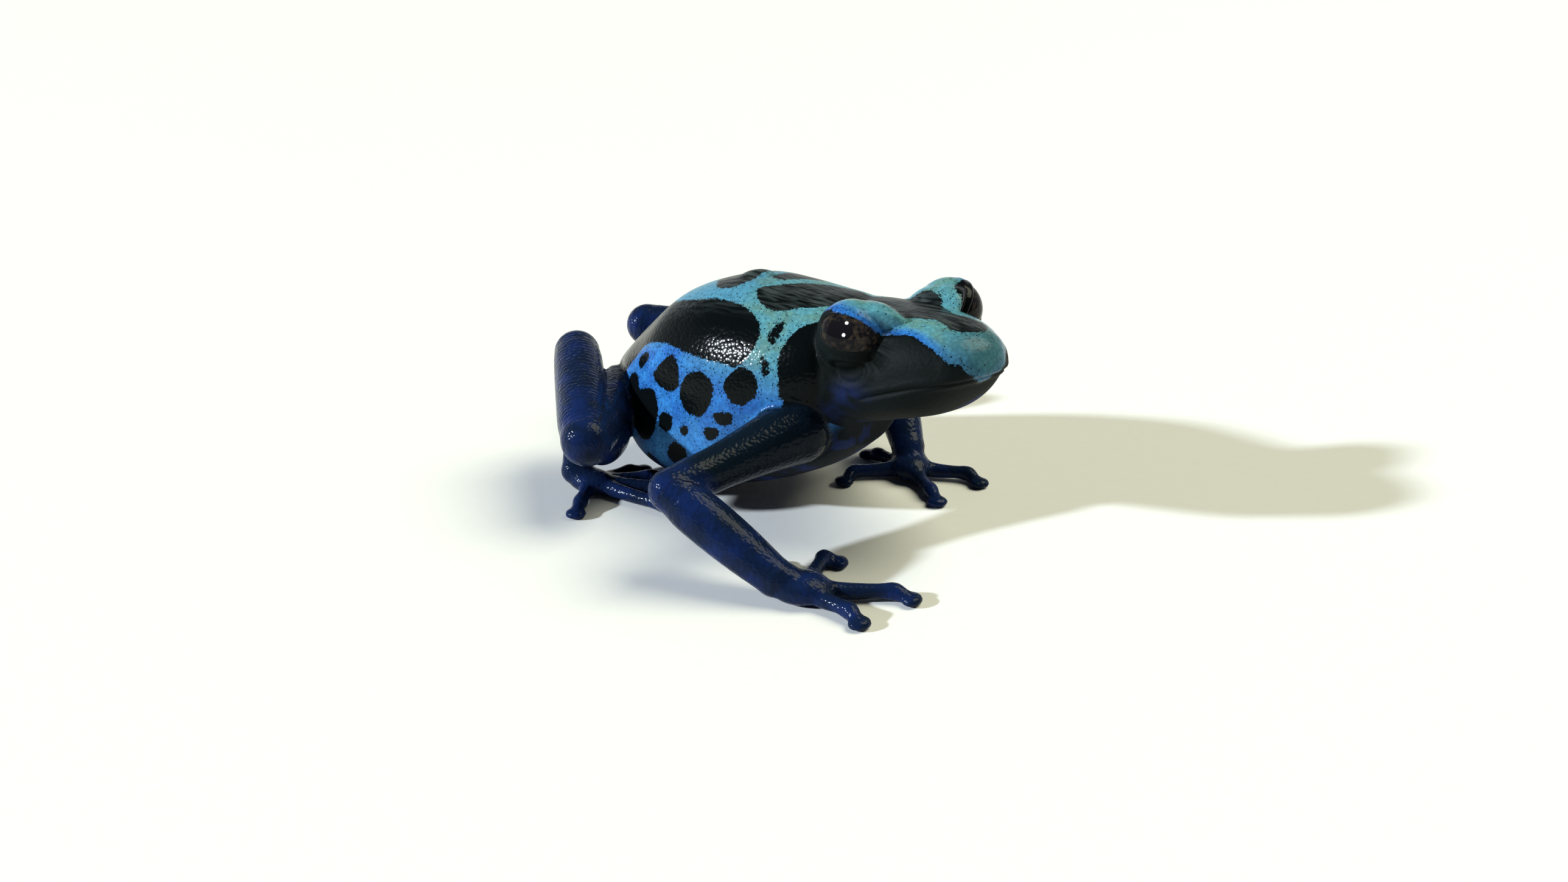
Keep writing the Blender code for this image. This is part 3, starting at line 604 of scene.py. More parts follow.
@dataclass(frozen=True)
class Markings:
    """Black markings on blue: their edges in the trunk's and the head's maps."""

    trunk: TrunkMap = TrunkMap()
    head: HeadMap = HeadMap()
    saddle: Spot = (
        (-12.6, 2.2), (-9.0, 3.4), (-5.9, 4.2), (-3.7, 4.3), (-1.6, 4.6), (0.5, 5.0), (2.2, 5.9),
        (3.1, 6.9), (3.5, 8.0), (3.3, 9.1), (2.7, 10.1), (1.9, 10.5), (0.6, 10.2), (-1.3, 9.9),
        (-4.2, 9.2), (-7.0, 8.3), (-9.2, 7.9), (-11.2, 8.1), (-13.0, 9.4), (-15.2, 11.5),
        (-17.5, 12.0), (-18.6, 6.0), (-16.5, 2.0),
    )
    right_spots: tuple[Spot, ...] = (
        ((-10.4, 8.8), (-9.5, 9.1), (-9.6, 9.8), (-10.6, 10.6), (-11.1, 10.3), (-11.5, 9.4)),
        ((-6.1, 9.3), (-5.4, 9.6), (-4.7, 10.4), (-4.4, 11.4), (-4.4, 12.3), (-5.1, 12.7),
         (-6.0, 12.6), (-7.3, 12.0), (-8.1, 11.2), (-7.9, 10.6), (-7.1, 9.9)),
        ((-2.5, 10.9), (-1.5, 11.0), (-0.6, 11.6), (-0.1, 12.5), (-0.3, 13.6), (-1.0, 14.7),
         (-1.8, 15.0), (-2.8, 14.8), (-3.7, 14.0), (-4.1, 13.0), (-4.0, 11.9), (-3.4, 11.2)),
        ((2.4, 10.5), (3.4, 11.0), (4.1, 11.7), (4.5, 12.7), (4.3, 13.6), (3.6, 14.1),
         (2.7, 14.2), (1.8, 13.5), (1.2, 12.7), (0.9, 12.0), (1.3, 11.3), (1.9, 10.8)),
        ((-12.6, 11.2), (-11.2, 11.2), (-10.6, 12.2), (-10.2, 13.4), (-11.0, 14.2), (-12.4, 13.8),
         (-13.2, 12.4)),
        ((-9.9, 12.6), (-8.1, 12.4), (-7.4, 13.2), (-7.1, 14.4), (-7.4, 15.8), (-7.9, 16.9),
         (-8.9, 17.8), (-10.6, 18.2), (-12.2, 16.8), (-12.4, 14.8), (-11.2, 13.4)),
        ((-0.2, 14.9), (0.5, 14.6), (1.9, 14.7), (2.1, 15.4), (1.6, 15.9), (0.7, 15.8)),
        ((-1.2, 16.3), (-0.5, 16.0), (0.5, 16.2), (0.6, 16.8), (-0.2, 17.2), (-0.9, 17.1)),
        ((-6.9, 15.0), (-5.9, 14.8), (-5.2, 15.2), (-5.3, 16.3), (-6.2, 16.7), (-7.0, 16.2)),
        ((-5.9, 18.2), (-5.1, 17.6), (-4.3, 17.7), (-3.6, 18.6), (-3.6, 19.8), (-4.6, 20.4),
         (-5.8, 20.0), (-6.3, 19.2)),
        ((-3.9, 16.0), (-3.2, 15.9), (-3.0, 16.6), (-3.6, 16.9), (-4.1, 16.5)),
        ((-9.6, 19.6), (-8.6, 19.8), (-7.9, 21.0), (-8.4, 22.2), (-9.6, 21.8), (-10.2, 20.6)),
        ((-1.6, 18.6), (-0.4, 18.2), (0.6, 18.9), (0.2, 19.9), (-1.2, 19.9)),
    )
    right_small: tuple[Spot, ...] = (
        ((5.0, 6.3), (5.35, 6.6), (5.4, 7.5), (5.3, 8.5), (4.95, 8.9), (4.6, 8.5), (4.3, 7.9), (4.4, 7.1)),
        ((4.3, 10.0), (4.9, 10.3), (5.3, 11.0), (5.4, 11.7), (5.0, 11.9), (4.6, 11.3)),
    )
    ear_patch: Spot = (
        (10.7, 6.6), (9.0, 6.0), (8.0, 6.2), (7.1, 6.9), (6.6, 7.6), (6.2, 8.6), (6.0, 9.6),
        (6.0, 10.8), (6.3, 12.4), (6.5, 13.7), (7.0, 15.5), (8.0, 18.0), (12.0, 20.0), (18.0, 18.0),
        (19.0, 10.0), (14.0, 6.0),
    )
    back_patch: Spot = (
        (0.3, 2.7), (0.9, 3.7), (1.9, 4.5), (3.1, 5.1), (4.4, 5.1), (5.8, 4.4), (7.0, 4.2),
        (7.9, 3.5), (11.0, 2.6), (16.0, 2.0), (16.0, -2.4), (11.0, -3.0), (7.6, -3.2), (5.4, -2.0),
        (4.0, -0.9), (2.8, 0.2), (1.6, 1.5),
    )
    rim_patches: tuple[Spot, ...] = (
        ((-5.6, 1.6), (-4.2, 2.9), (-2.4, 3.0), (-1.6, 2.2), (-1.2, 0.8), (-1.4, -1.6), (-2.6, -3.2),
         (-4.6, -3.4), (-6.2, -1.8), (-6.4, 0.2)),
        ((-0.2, 0.2), (0.6, 0.5), (1.3, 0.2), (2.1, -0.9), (3.2, -2.2), (3.6, -3.6), (2.4, -4.4),
         (0.8, -3.8), (-0.2, -2.2)),
    )
    left_saddle: Spot = (
        (-11.6, -3.0), (-8.2, -4.6), (-4.6, -5.4), (-1.0, -5.2), (1.8, -5.8), (3.3, -7.4),
        (3.2, -9.2), (1.4, -10.4), (-1.6, -10.3), (-4.4, -9.4), (-7.4, -9.0), (-10.4, -9.6),
        (-12.6, -9.0), (-13.6, -6.0), (-13.0, -4.0),
    )
    left_spots: tuple[Spot, ...] = (
        ((-8.6, -10.8), (-6.8, -10.4), (-5.6, -11.6), (-5.9, -13.4), (-7.6, -14.0), (-9.2, -12.8)),
        ((-3.6, -11.6), (-1.8, -11.6), (-0.6, -13.0), (-1.0, -14.8), (-2.8, -15.4), (-4.2, -13.8)),
        ((1.2, -11.8), (2.8, -11.4), (3.9, -12.6), (3.6, -14.0), (2.0, -14.4), (0.9, -13.2)),
        ((-12.0, -11.4), (-10.6, -12.0), (-10.4, -13.6), (-11.8, -14.2), (-12.9, -12.8)),
        ((-9.6, -15.0), (-8.0, -14.8), (-6.8, -16.2), (-7.6, -18.0), (-9.4, -17.8), (-10.4, -16.4)),
        ((-4.9, -16.2), (-4.0, -16.0), (-3.6, -16.9), (-4.3, -17.5), (-5.1, -17.0)),
        ((-1.6, -16.8), (-0.2, -16.4), (0.8, -17.2), (0.2, -18.4), (-1.4, -18.2)),
        ((4.6, -7.4), (5.2, -7.8), (5.3, -9.0), (4.8, -9.8), (4.2, -8.8)),
        ((4.4, -10.9), (5.2, -11.1), (5.4, -12.0), (4.8, -12.4)),
        ((-5.8, -19.0), (-4.6, -18.8), (-4.0, -19.8), (-4.8, -20.8), (-6.0, -20.2)),
        ((1.4, -15.8), (2.2, -15.6), (2.5, -16.4), (1.8, -16.8)),
    )
    left_ear: Spot = (
        (11.5, -6.4), (9.6, -6.0), (8.4, -6.6), (7.4, -7.8), (6.9, -9.4), (6.8, -11.4), (7.1, -13.6),
        (7.8, -16.0), (9.0, -18.4), (13.0, -20.0), (19.0, -18.0), (20.0, -10.0), (15.0, -6.0),
    )
    rump: Spot = (
        (-13.0, 1.6), (-13.2, -1.8), (-14.8, -4.4), (-16.4, -8.0), (-18.0, -12.0), (-21.0, -12.0),
        (-21.0, 12.0), (-17.6, 11.0), (-16.0, 5.0),
    )
    face: Spot = (
        (0, -12), (7, -8), (15, -2), (17, 2), (23, 4), (27, 10), (34, 19), (43, 28), (55, 32),
        (62, 32), (69, 31), (80, 35), (91, 36), (100, 38), (116, 35), (134, 30), (158, 30), (180, 34),
        (202, 30), (226, 30), (244, 35), (260, 38), (269, 36), (280, 35), (291, 31), (298, 32),
        (305, 32), (317, 28), (326, 19), (333, 10), (337, 4), (343, 2), (345, -2), (353, -8),
    )
    crown: Spot = (
        (11, 31), (12, 26), (6, 21), (-6, 18), (-17, 18), (-27, 22), (-24, 30), (-20, 42), (-36, 51),
        (-58, 58), (-95, 62), (-125, 59), (-150, 50), (-165, 38), (-172, 26), (172, 24), (158, 37),
        (141, 44), (120, 56), (85, 60), (68, 56), (52, 53), (36, 52), (24, 46), (14, 41),
    )
    far_lid: Spot = ((-86, 47), (-74, 51), (-62, 48), (-54, 42), (-56, 34), (-66, 28), (-80, 30), (-90, 38))


class Skin:
    """The frog's skin: one closed surface, with its creases, lids, lips and markings."""

    voxel = 0.235
    smooth_rounds = 4
    crease_width = 0.55
    crease_depth = 0.16
    fine_reach = 0.85

    def __init__(self, pose: HeadPose, eyes: Eyes, trunk: Trunk, arms: list[Arm], legs: list[Leg]) -> None:
        """Keep the parts that the skin covers.

        Args:
            pose: The head's place.
            eyes: The eyes.
            trunk: The torso and head.
            arms: Both arms.
            legs: Both legs.
        """
        self.pose, self.eyes, self.trunk = pose, eyes, trunk
        self.arms, self.legs = arms, legs
        self.markings = Markings()
        self.masses = trunk.masses(pose, eyes)
        for limb in (*arms, *legs):
            self.masses += limb.masses()
        self.trees = {mass.name: mass.finish() for mass in self.masses}
        self.boxes = {mass.name: mass.box() for mass in self.masses}

    def build(self) -> bpy.types.Object:
        """Draw the skin over the masses, shape it and give it its attributes."""
        skin = self.fuse()
        self.refine(skin)
        self.shape(skin)
        self.paint(skin)
        skin.data.shade_smooth()
        return skin

    def fuse(self) -> bpy.types.Object:
        """Draw one surface over the overlapping masses."""
        joined = bmesh.new()
        for mass in self.masses:
            mesh = bpy.data.meshes.new(mass.name)
            mass.bm.to_mesh(mesh)
            mass.bm.free()
            joined.from_mesh(mesh)
            bpy.data.meshes.remove(mesh)
        mesh = bpy.data.meshes.new("frog_skin")
        joined.to_mesh(mesh)
        joined.free()
        skin = bpy.data.objects.new("frog_skin", mesh)
        bpy.context.scene.collection.objects.link(skin)
        remesh = skin.modifiers.new("Skin", "REMESH")
        remesh.mode = "VOXEL"
        remesh.voxel_size = self.voxel
        smooth = skin.modifiers.new("Smooth", "SMOOTH")
        smooth.factor = 0.5
        smooth.iterations = self.smooth_rounds
        bpy.context.view_layer.update()
        evaluated = skin.evaluated_get(bpy.context.evaluated_depsgraph_get())
        baked = bpy.data.meshes.new_from_object(evaluated)
        skin.modifiers.clear()
        skin.data = baked
        baked.name = "frog_skin"
        return skin

    def refine(self, skin: bpy.types.Object) -> None:
        """Split the faces where lids, lips, nostrils and ears need a finer surface."""
        bm = bmesh.new()
        bm.from_mesh(skin.data)
        places = np.array([vert.co for vert in bm.verts])
        near = self.detail_near(places) > 0.0
        edges = [edge for edge in bm.edges if near[edge.verts[0].index] and near[edge.verts[1].index]]
        bmesh.ops.subdivide_edges(bm, edges=edges, cuts=1, use_grid_fill=True)
        places = np.array([vert.co for vert in bm.verts])
        near = self.detail_near(places) > 0.0
        chosen = [vert for vert, close in zip(bm.verts, near) if close]
        every_way = {"use_axis_x": True, "use_axis_y": True, "use_axis_z": True}
        for _ in range(2):
            bmesh.ops.smooth_vert(bm, verts=chosen, factor=0.5, **every_way)
        bmesh.ops.triangulate(bm, faces=[face for face in bm.faces if len(face.verts) > 4])
        bm.to_mesh(skin.data)
        bm.free()

    def detail_near(self, places: np.ndarray) -> np.ndarray:
        """How far inside the finely detailed areas each place is."""
        head = self.pose.local(places)
        near = np.full(len(places), -np.inf)
        for side in Side:
            gap = np.linalg.norm(head - np.array(self.eyes.middle(side)), axis=1)
            near = np.maximum(near, 3.7 - gap)
        lips = self.lip_gap(head)
        on_lips = np.where(head[:, 0] > -0.4, self.fine_reach - np.abs(lips), -1.0)
        return np.maximum(near, on_lips)

    @staticmethod
    def lip_gap(head: np.ndarray) -> np.ndarray:
        """Height above the mouth line, in the head's axes."""
        stations = (0.0, 1.4, 3.0, 5.2, 7.6, 8.8)
        heights = (-5.55, -5.3, -5.05, -4.75, -4.7, -4.7)
        return head[:, 2] - np.interp(head[:, 0], stations, heights)

    def gaps(self, places: np.ndarray, reach: float = 2.5) -> dict[str, np.ndarray]:
        """Distances from places to the surface of each mass, up to a reach."""
        found = {}
        for name, tree in self.trees.items():
            low, high = self.boxes[name]
            gap = np.full(len(places), reach)
            close = np.all((places > low - reach) & (places < high + reach), axis=1)
            for index in np.nonzero(close)[0]:
                hit = tree.find_nearest(Vector(places[index]), reach)
                if hit[0] is not None:
                    gap[index] = hit[3]
            found[name] = gap
        return found

    @staticmethod
    def read(mesh: bpy.types.Mesh) -> tuple[np.ndarray, np.ndarray]:
        """The places and normals of a mesh's vertices."""
        places = np.empty(len(mesh.vertices) * 3)
        mesh.vertices.foreach_get("co", places)
        normals = np.empty(len(mesh.vertices) * 3)
        mesh.vertices.foreach_get("normal", normals)
        return places.reshape(-1, 3), normals.reshape(-1, 3)

    def shape(self, skin: bpy.types.Object) -> None:
        """Press folds, lids, lips, nostrils and ears into the skin."""
        places, normals = self.read(skin.data)
        self.region_gaps = self.gaps(places)
        self.creases = self.crease_field()
        places = places - normals * (self.creases * self.crease_depth)[:, None]
        head = self.pose.local(places)
        rise = self.lips(head) + self.nostrils(head) + self.ears(head) + self.neck_folds(head)
        rise += self.trunk_folds(places)
        places = places + normals * rise[:, None]
        for side in Side:
            places = self.lids(places, side)
        places[:, 2] = np.maximum(places[:, 2], 0.0)
        skin.data.vertices.foreach_set("co", places.ravel())
        skin.data.update()

    def crease_field(self) -> np.ndarray:
        """How close each place is to where two body regions meet."""
        word_pairs = [("torso", "upper_arm_{}"), ("torso", "thigh_{}"), ("torso", "shank_{}"),
                      ("torso", "tarsus_{}"), ("upper_arm_{}", "forearm_{}"), ("thigh_{}", "shank_{}"),
                      ("shank_{}", "tarsus_{}"), ("thigh_{}", "tarsus_{}"), ("head", "upper_arm_{}"),
                      ("torso", "foot_{}"), ("thigh_{}", "foot_{}")]
        crease = np.zeros(len(self.region_gaps["torso"]))
        for side in Side:
            for first, second in word_pairs:
                one = self.region_gaps[first.format(side.word)]
                two = self.region_gaps[second.format(side.word)]
                crease = np.maximum(crease, bell(np.maximum(one, two), self.crease_width))
        return crease

    def lips(self, head: np.ndarray) -> np.ndarray:
        """The mouth line with its rounded lips."""
        gap = self.lip_gap(head)
        hold = smoothstep(-0.5, 0.9, head[:, 0]) * smoothstep(-3.0, -3.6, head[:, 2])
        line = -0.2 * bell(gap, 0.16) + 0.1 * bell(gap - 0.5, 0.34) + 0.04 * bell(gap + 0.42, 0.3)
        jaw = -0.3 * smoothstep(0.1, -0.7, gap) * smoothstep(3.0, 7.0, head[:, 0])
        return hold * (line + jaw) * smoothstep(0.6, 0.2, self.region_gaps["head"])

    def nostrils(self, head: np.ndarray) -> np.ndarray:
        """The nostrils, each a small pit with a raised rim."""
        rise = np.zeros(len(head))
        for side in Side:
            centre = np.array((7.55, side.value * 3.15, -3.35))
            gap = np.linalg.norm(head - centre, axis=1)
            rise += 0.07 * bell(gap - 0.55, 0.2) - 0.3 * bell(gap, 0.27)
        return rise

    def ears(self, head: np.ndarray) -> np.ndarray:
        """The ear discs below and behind the eyes, each with a shallow ring round it."""
        rise = np.zeros(len(head))
        for side in Side:
            across = side.value * head[:, 1] > 3.0
            ring = np.hypot((head[:, 0] + 0.35) / 1.4, (head[:, 2] + 3.05) / 0.98)
            gap = (ring - 1.0) * 1.05
            form = -0.13 * bell(gap, 0.2) + 0.09 * bell(gap - 0.42, 0.26) - 0.05 * (gap < 0) * (1.0 - ring)
            rise += np.where(across, form, 0.0)
        return rise

    def neck_folds(self, head: np.ndarray) -> np.ndarray:
        """The fold that runs from behind each eye over the ear and down to the shoulder."""
        rise = np.zeros(len(head))
        path = np.array(
            ((-3.1, 5.6, 0.4), (-3.3, 6.5, -1.2), (-3.0, 7.0, -2.6), (-2.9, 7.2, -4.2), (-3.8, 7.2, -5.8))
        )
        run = smooth_run(path, 0.25)
        for side in Side:
            line = run * np.array((1.0, side.value, 1.0))
            near = np.nonzero(np.linalg.norm(head - line[len(line) // 2], axis=1) < 6.5)[0]
            gaps = np.linalg.norm(head[near][:, None, :] - line[None], axis=2)
            nearest = gaps.argmin(axis=1)
            gap = gaps.min(axis=1)
            behind = head[near, 0] < line[nearest, 0]
            fade = smoothstep(0.0, 0.12, nearest / len(line)) * smoothstep(1.0, 0.75, nearest / len(line))
            form = 0.2 * bell(gap, 0.6) - 0.12 * bell(np.where(behind, gap - 1.0, 9.0), 0.35)
            rise[near] += form * fade
        return rise

    def trunk_folds(self, places: np.ndarray) -> np.ndarray:
        """Slack skin: soft folds low on the flank behind the arm, reaching towards the belly."""
        where = self.markings.trunk.places(places)
        on_torso = smoothstep(0.5, 0.1, self.region_gaps["torso"])
        side = np.abs(where[:, 1])
        flank = bell(side - 17.0, 4.0) * smoothstep(6.5, 3.5, places[:, 0])
        flank *= smoothstep(-12.0, -6.0, places[:, 0])
        wave = np.sin((places[:, 0] * 0.9 + side * 0.55) * 1.6 + 0.8 * np.sin(side * 0.7))
        return 0.05 * wave * flank * on_torso

    def lids(self, places: np.ndarray, side: Side) -> np.ndarray:
        """Open the skin round one eye and raise its lid edge.

        Args:
            places: The skin's vertices.
            side: The eye's side.

        Returns:
            The vertices with the lids shaped.
        """
        matrix = self.eyes.matrix(self.pose, side)
        turn = np.array(matrix.to_3x3())
        centre = np.array(matrix.translation)
        local = (places - centre) @ turn
        radius = np.linalg.norm(local, axis=1)
        tilt = np.arccos(np.clip(local[:, 2] / np.maximum(radius, 1e-6), -1.0, 1.0))
        flat = np.maximum(np.hypot(local[:, 0], local[:, 1]), 1e-6)
        lean = math.radians(self.eyes.lid_tilt * side.value)
        level = tilt * (local[:, 0] * math.cos(lean) + local[:, 1] * math.sin(lean)) / flat
        rise = tilt * (local[:, 1] * math.cos(lean) - local[:, 0] * math.sin(lean)) / flat
        forward, upward = self.eyes.lid_shift
        level, rise = level + side.value * forward, rise - upward
        wide, high = self.eyes.lid_reach
        ring = np.maximum(np.hypot(level / wide, rise / high), 1e-6)
        slope = np.hypot(level / wide**2, rise / high**2) / ring
        gap = (ring - 1.0) / np.maximum(slope, 1e-6) * self.eyes.radius
        under = self.eyes.under_lid
        low, high = self.eyes.lower_crest, self.eyes.upper_crest
        crest = low + (high - low) * smoothstep(-0.3, 0.4, rise)
        rows = ((-0.62, 0.0), (-0.36, 0.3), (-0.2, 0.86), (-0.08, 0.97), (0.08, 1.0), (0.5, 0.96),
                (0.9, 1.04))
        target = under + (crest - under) * np.interp(gap, [row[0] for row in rows], [row[1] for row in rows])
        hold = smoothstep(1.1, 0.55, gap) * (radius < 5.0) * (local[:, 2] > -1.0)
        new = radius + (target - radius) * hold
        moved = centre + (local * (new / np.maximum(radius, 1e-6))[:, None]) @ turn.T
        return np.where((hold > 0.0)[:, None], moved, places)

    def paint(self, skin: bpy.types.Object) -> None:
        """Give the skin its marking depths and colour masks, one value a vertex."""
        places, _ = self.read(skin.data)
        head = self.pose.local(places)
        marks = self.markings
        body = marks.trunk.places(places)
        crown = marks.head.places(head)
        on_head = smoothstep(-5.0, -3.2, head[:, 0]) * smoothstep(0.8, 0.3, self.region_gaps["head"])
        black = self.trunk_black(body)
        faced = -HeadMap.outline(marks.face).depth(crown)
        crowned = HeadMap.outline(marks.crown).depth(crown)
        lidded = HeadMap.outline(marks.far_lid).depth(crown)
        head_black = np.maximum(np.maximum(faced, crowned), lidded)
        black = black + (head_black - black) * on_head
        trunk_gap = np.minimum(self.region_gaps["torso"], self.region_gaps["head"])
        limb_gap = np.full(len(places), 2.5)
        for name, gap in self.region_gaps.items():
            if name not in ("torso", "head"):
                limb_gap = np.minimum(limb_gap, gap)
        limb = smoothstep(-0.25, 0.15, trunk_gap - limb_gap)
        turquoise = self.turquoise(body, head, on_head)
        side = np.abs(body[:, 1])
        belly = smoothstep(18.5, 22.0, side)
        low = smoothstep(15.5, 19.5, side)
        spine = smoothstep(6.5, 3.0, side) * (1.0 - limb)
        values = {
            "black": black,
            "limb": limb,
            "turquoise": turquoise,
            "belly": belly,
            "face": on_head * smoothstep(-0.2, 0.4, faced),
            # mask for the painted shade on the snout
            "snout": on_head * smoothstep(5.2, 9.0, head[:, 0]),
            "cheek": on_head * self.cheek_patches(head),
            # mask for the painted shade on the upper arms
            "upper": self.upper_arms(),
            "dull": np.maximum(on_head * smoothstep(-0.2, 0.4, faced), low) * (1.0 - limb),
            "crease": self.creases,
            # where the back and crown are wrinkled and rougher, and where they carry the painted sheen
            "back": spine * (1.0 - on_head) + smoothstep(-0.3, 0.5, crowned) * on_head,
            "along": self.along(places),
            "ring": self.limb_rings(places),
        }
        for name, value in values.items():
            layer = skin.data.attributes.new(name, "FLOAT", "POINT")
            layer.data.foreach_set("value", value.astype(np.float32))

    @staticmethod
    def cheek_patches(head: np.ndarray) -> np.ndarray:
        """Where deep blue shows through on the jaw, below the ear and towards the shoulder."""
        first = np.hypot((head[:, 0] + 1.0) / 1.7, (head[:, 2] + 5.1) / 1.0)
        second = np.hypot((head[:, 0] + 4.2) / 1.8, (head[:, 2] + 6.4) / 1.2)
        return np.maximum(bell(first, 1.0), bell(second, 1.0))

    def upper_arms(self) -> np.ndarray:
        """Where the skin covers an upper arm, which is painted darker than the rest of the limb as shade."""
        near = np.zeros(len(self.creases))
        for arm in self.arms:
            upper = self.region_gaps[f"upper_arm_{arm.side.word}"]
            fore = self.region_gaps[f"forearm_{arm.side.word}"]
            near = np.maximum(near, smoothstep(0.5, 0.1, upper) * smoothstep(0.0, 1.6, fore - upper))
        return near

    def trunk_black(self, body: np.ndarray) -> np.ndarray:
        """How far inside a black marking each place of the trunk is."""
        marks = self.markings
        depth = np.full(len(body), -9.0)
        spots = [marks.saddle, *marks.right_spots, marks.ear_patch, marks.back_patch, *marks.rim_patches]
        spots += [marks.left_saddle, *marks.left_spots, marks.left_ear, marks.rump]
        for spot in spots:
            depth = np.maximum(depth, Outline(spot).depth(body))
        for spot in marks.right_small:
            depth = np.maximum(depth, np.minimum(Outline(spot).depth(body), 0.12))
        return depth

    def turquoise(self, body: np.ndarray, head: np.ndarray, on_head: np.ndarray) -> np.ndarray:
        """Where the blue turns to turquoise: on the shoulders, back band, lids and snout."""
        side = np.abs(body[:, 1])
        lower = side - 0.55 * np.maximum(body[:, 0] - 2.0, 0.0)
        band = smoothstep(-6.5, 2.0, body[:, 0]) * smoothstep(13.5, 8.0, lower)
        band = np.maximum(band, 0.75 * smoothstep(9.5, 6.0, side))
        band = np.maximum(band, 0.15 * smoothstep(13.5, 17.0, side))
        edge = HeadMap.outline(self.markings.face).depth(self.markings.head.places(head))
        top = smoothstep(0.2, 1.3, edge)
        return band + (top - band) * on_head

    def limb_rings(self, places: np.ndarray) -> np.ndarray:
        """Where the limbs' skin is ringed with fine wrinkles: on the shanks, and near each joint."""
        rings = np.zeros(len(places))
        for leg in self.legs:
            gap = self.region_gaps[f"shank_{leg.side.word}"]
            rings = np.maximum(rings, smoothstep(0.6, 0.1, gap))
        for arm in self.arms:
            gap = np.linalg.norm(places - np.array(arm.elbow), axis=1)
            rings = np.maximum(rings, smoothstep(4.2, 2.2, gap) * 0.7)
        return rings

    def along(self, places: np.ndarray) -> np.ndarray:
        """Distance along the nearest limb, in millimetres."""
        best = np.full(len(places), np.inf)
        value = np.zeros(len(places))
        for limb in (*self.arms, *self.legs):
            for start, end in limb.bones():
                begin, run = np.array(start), np.array(end) - np.array(start)
                part = (places - begin) @ run / (run @ run)
                gap = np.linalg.norm(places - begin - np.clip(part, 0.0, 1.0)[:, None] * run, axis=1)
                closer = gap < best
                best = np.where(closer, gap, best)
                value = np.where(closer, part * np.linalg.norm(run), value)
        return value


class Board:
    """The node board of one material or node group."""

    def __init__(self, tree: bpy.types.NodeTree) -> None:
        """Keep the node tree that is built on.

        Args:
            tree: The tree.
        """
        self.tree = tree

    def add(self, kind: str, inputs: dict | None = None, **settings: object) -> bpy.types.Node:
        """Add a node.

        Args:
            kind: Blender's name of the node type.
            inputs: Values or sockets for its inputs, by name or index.
            settings: Its own settings.

        Returns:
            The node.
        """
        node = self.tree.nodes.new(kind)
        for name, value in settings.items():
            setattr(node, name, value)
        for name, value in (inputs or {}).items():
            if isinstance(value, bpy.types.NodeSocket):
                self.tree.links.new(value, node.inputs[name])
            else:
                node.inputs[name].default_value = value
        return node

    def tie(self, node: bpy.types.Node, name: str, socket: bpy.types.NodeSocket) -> None:
        """Join a socket to a named input."""
        self.tree.links.new(socket, node.inputs[name])

    def place(self) -> bpy.types.NodeSocket:
        """The place on the object, in its own coordinates."""
        return self.add("ShaderNodeTexCoord").outputs["Object"]

    def noise(
        self, where: bpy.types.NodeSocket, scale: float, detail: float, **more: float
    ) -> bpy.types.NodeSocket:
        """A cloudy noise.

        Args:
            where: The place that is read.
            scale: How many clouds there are to a unit of the place.
            detail: Octaves of finer noise.
            more: The noise's other inputs, by name.

        Returns:
            The noise.
        """
        inputs = {"Vector": where, "Scale": scale, "Detail": detail, **more}
        return self.add("ShaderNodeTexNoise", inputs).outputs["Fac"]

    def sum(self, kind: str, *values: object) -> bpy.types.NodeSocket:
        """A Math node's result."""
        return self.add("ShaderNodeMath", dict(enumerate(values)), operation=kind).outputs[0]

    def ease(self, value: bpy.types.NodeSocket, low: float, high: float) -> bpy.types.NodeSocket:
        """A value eased from 0 to 1 between two limits."""
        inputs = {"Value": value, "From Min": low, "From Max": high}
        node = self.add("ShaderNodeMapRange", inputs, interpolation_type="SMOOTHSTEP")
        return node.outputs["Result"]

    def blend(self, part: object, first: object, second: object) -> bpy.types.NodeSocket:
        """A mix of two colours."""
        node = self.add("ShaderNodeMix", data_type="RGBA")
        for index, value in ((0, part), (6, first), (7, second)):
            if isinstance(value, bpy.types.NodeSocket):
                self.tree.links.new(value, node.inputs[index])
            elif index == 0:
                node.inputs[index].default_value = value
            else:
                node.inputs[index].default_value = (*value, 1.0)
        return node.outputs[2]

    def value(self, name: str) -> bpy.types.NodeSocket:
        """A value that the mesh carries for each vertex."""
        return self.add("ShaderNodeAttribute", attribute_name=name).outputs["Fac"]


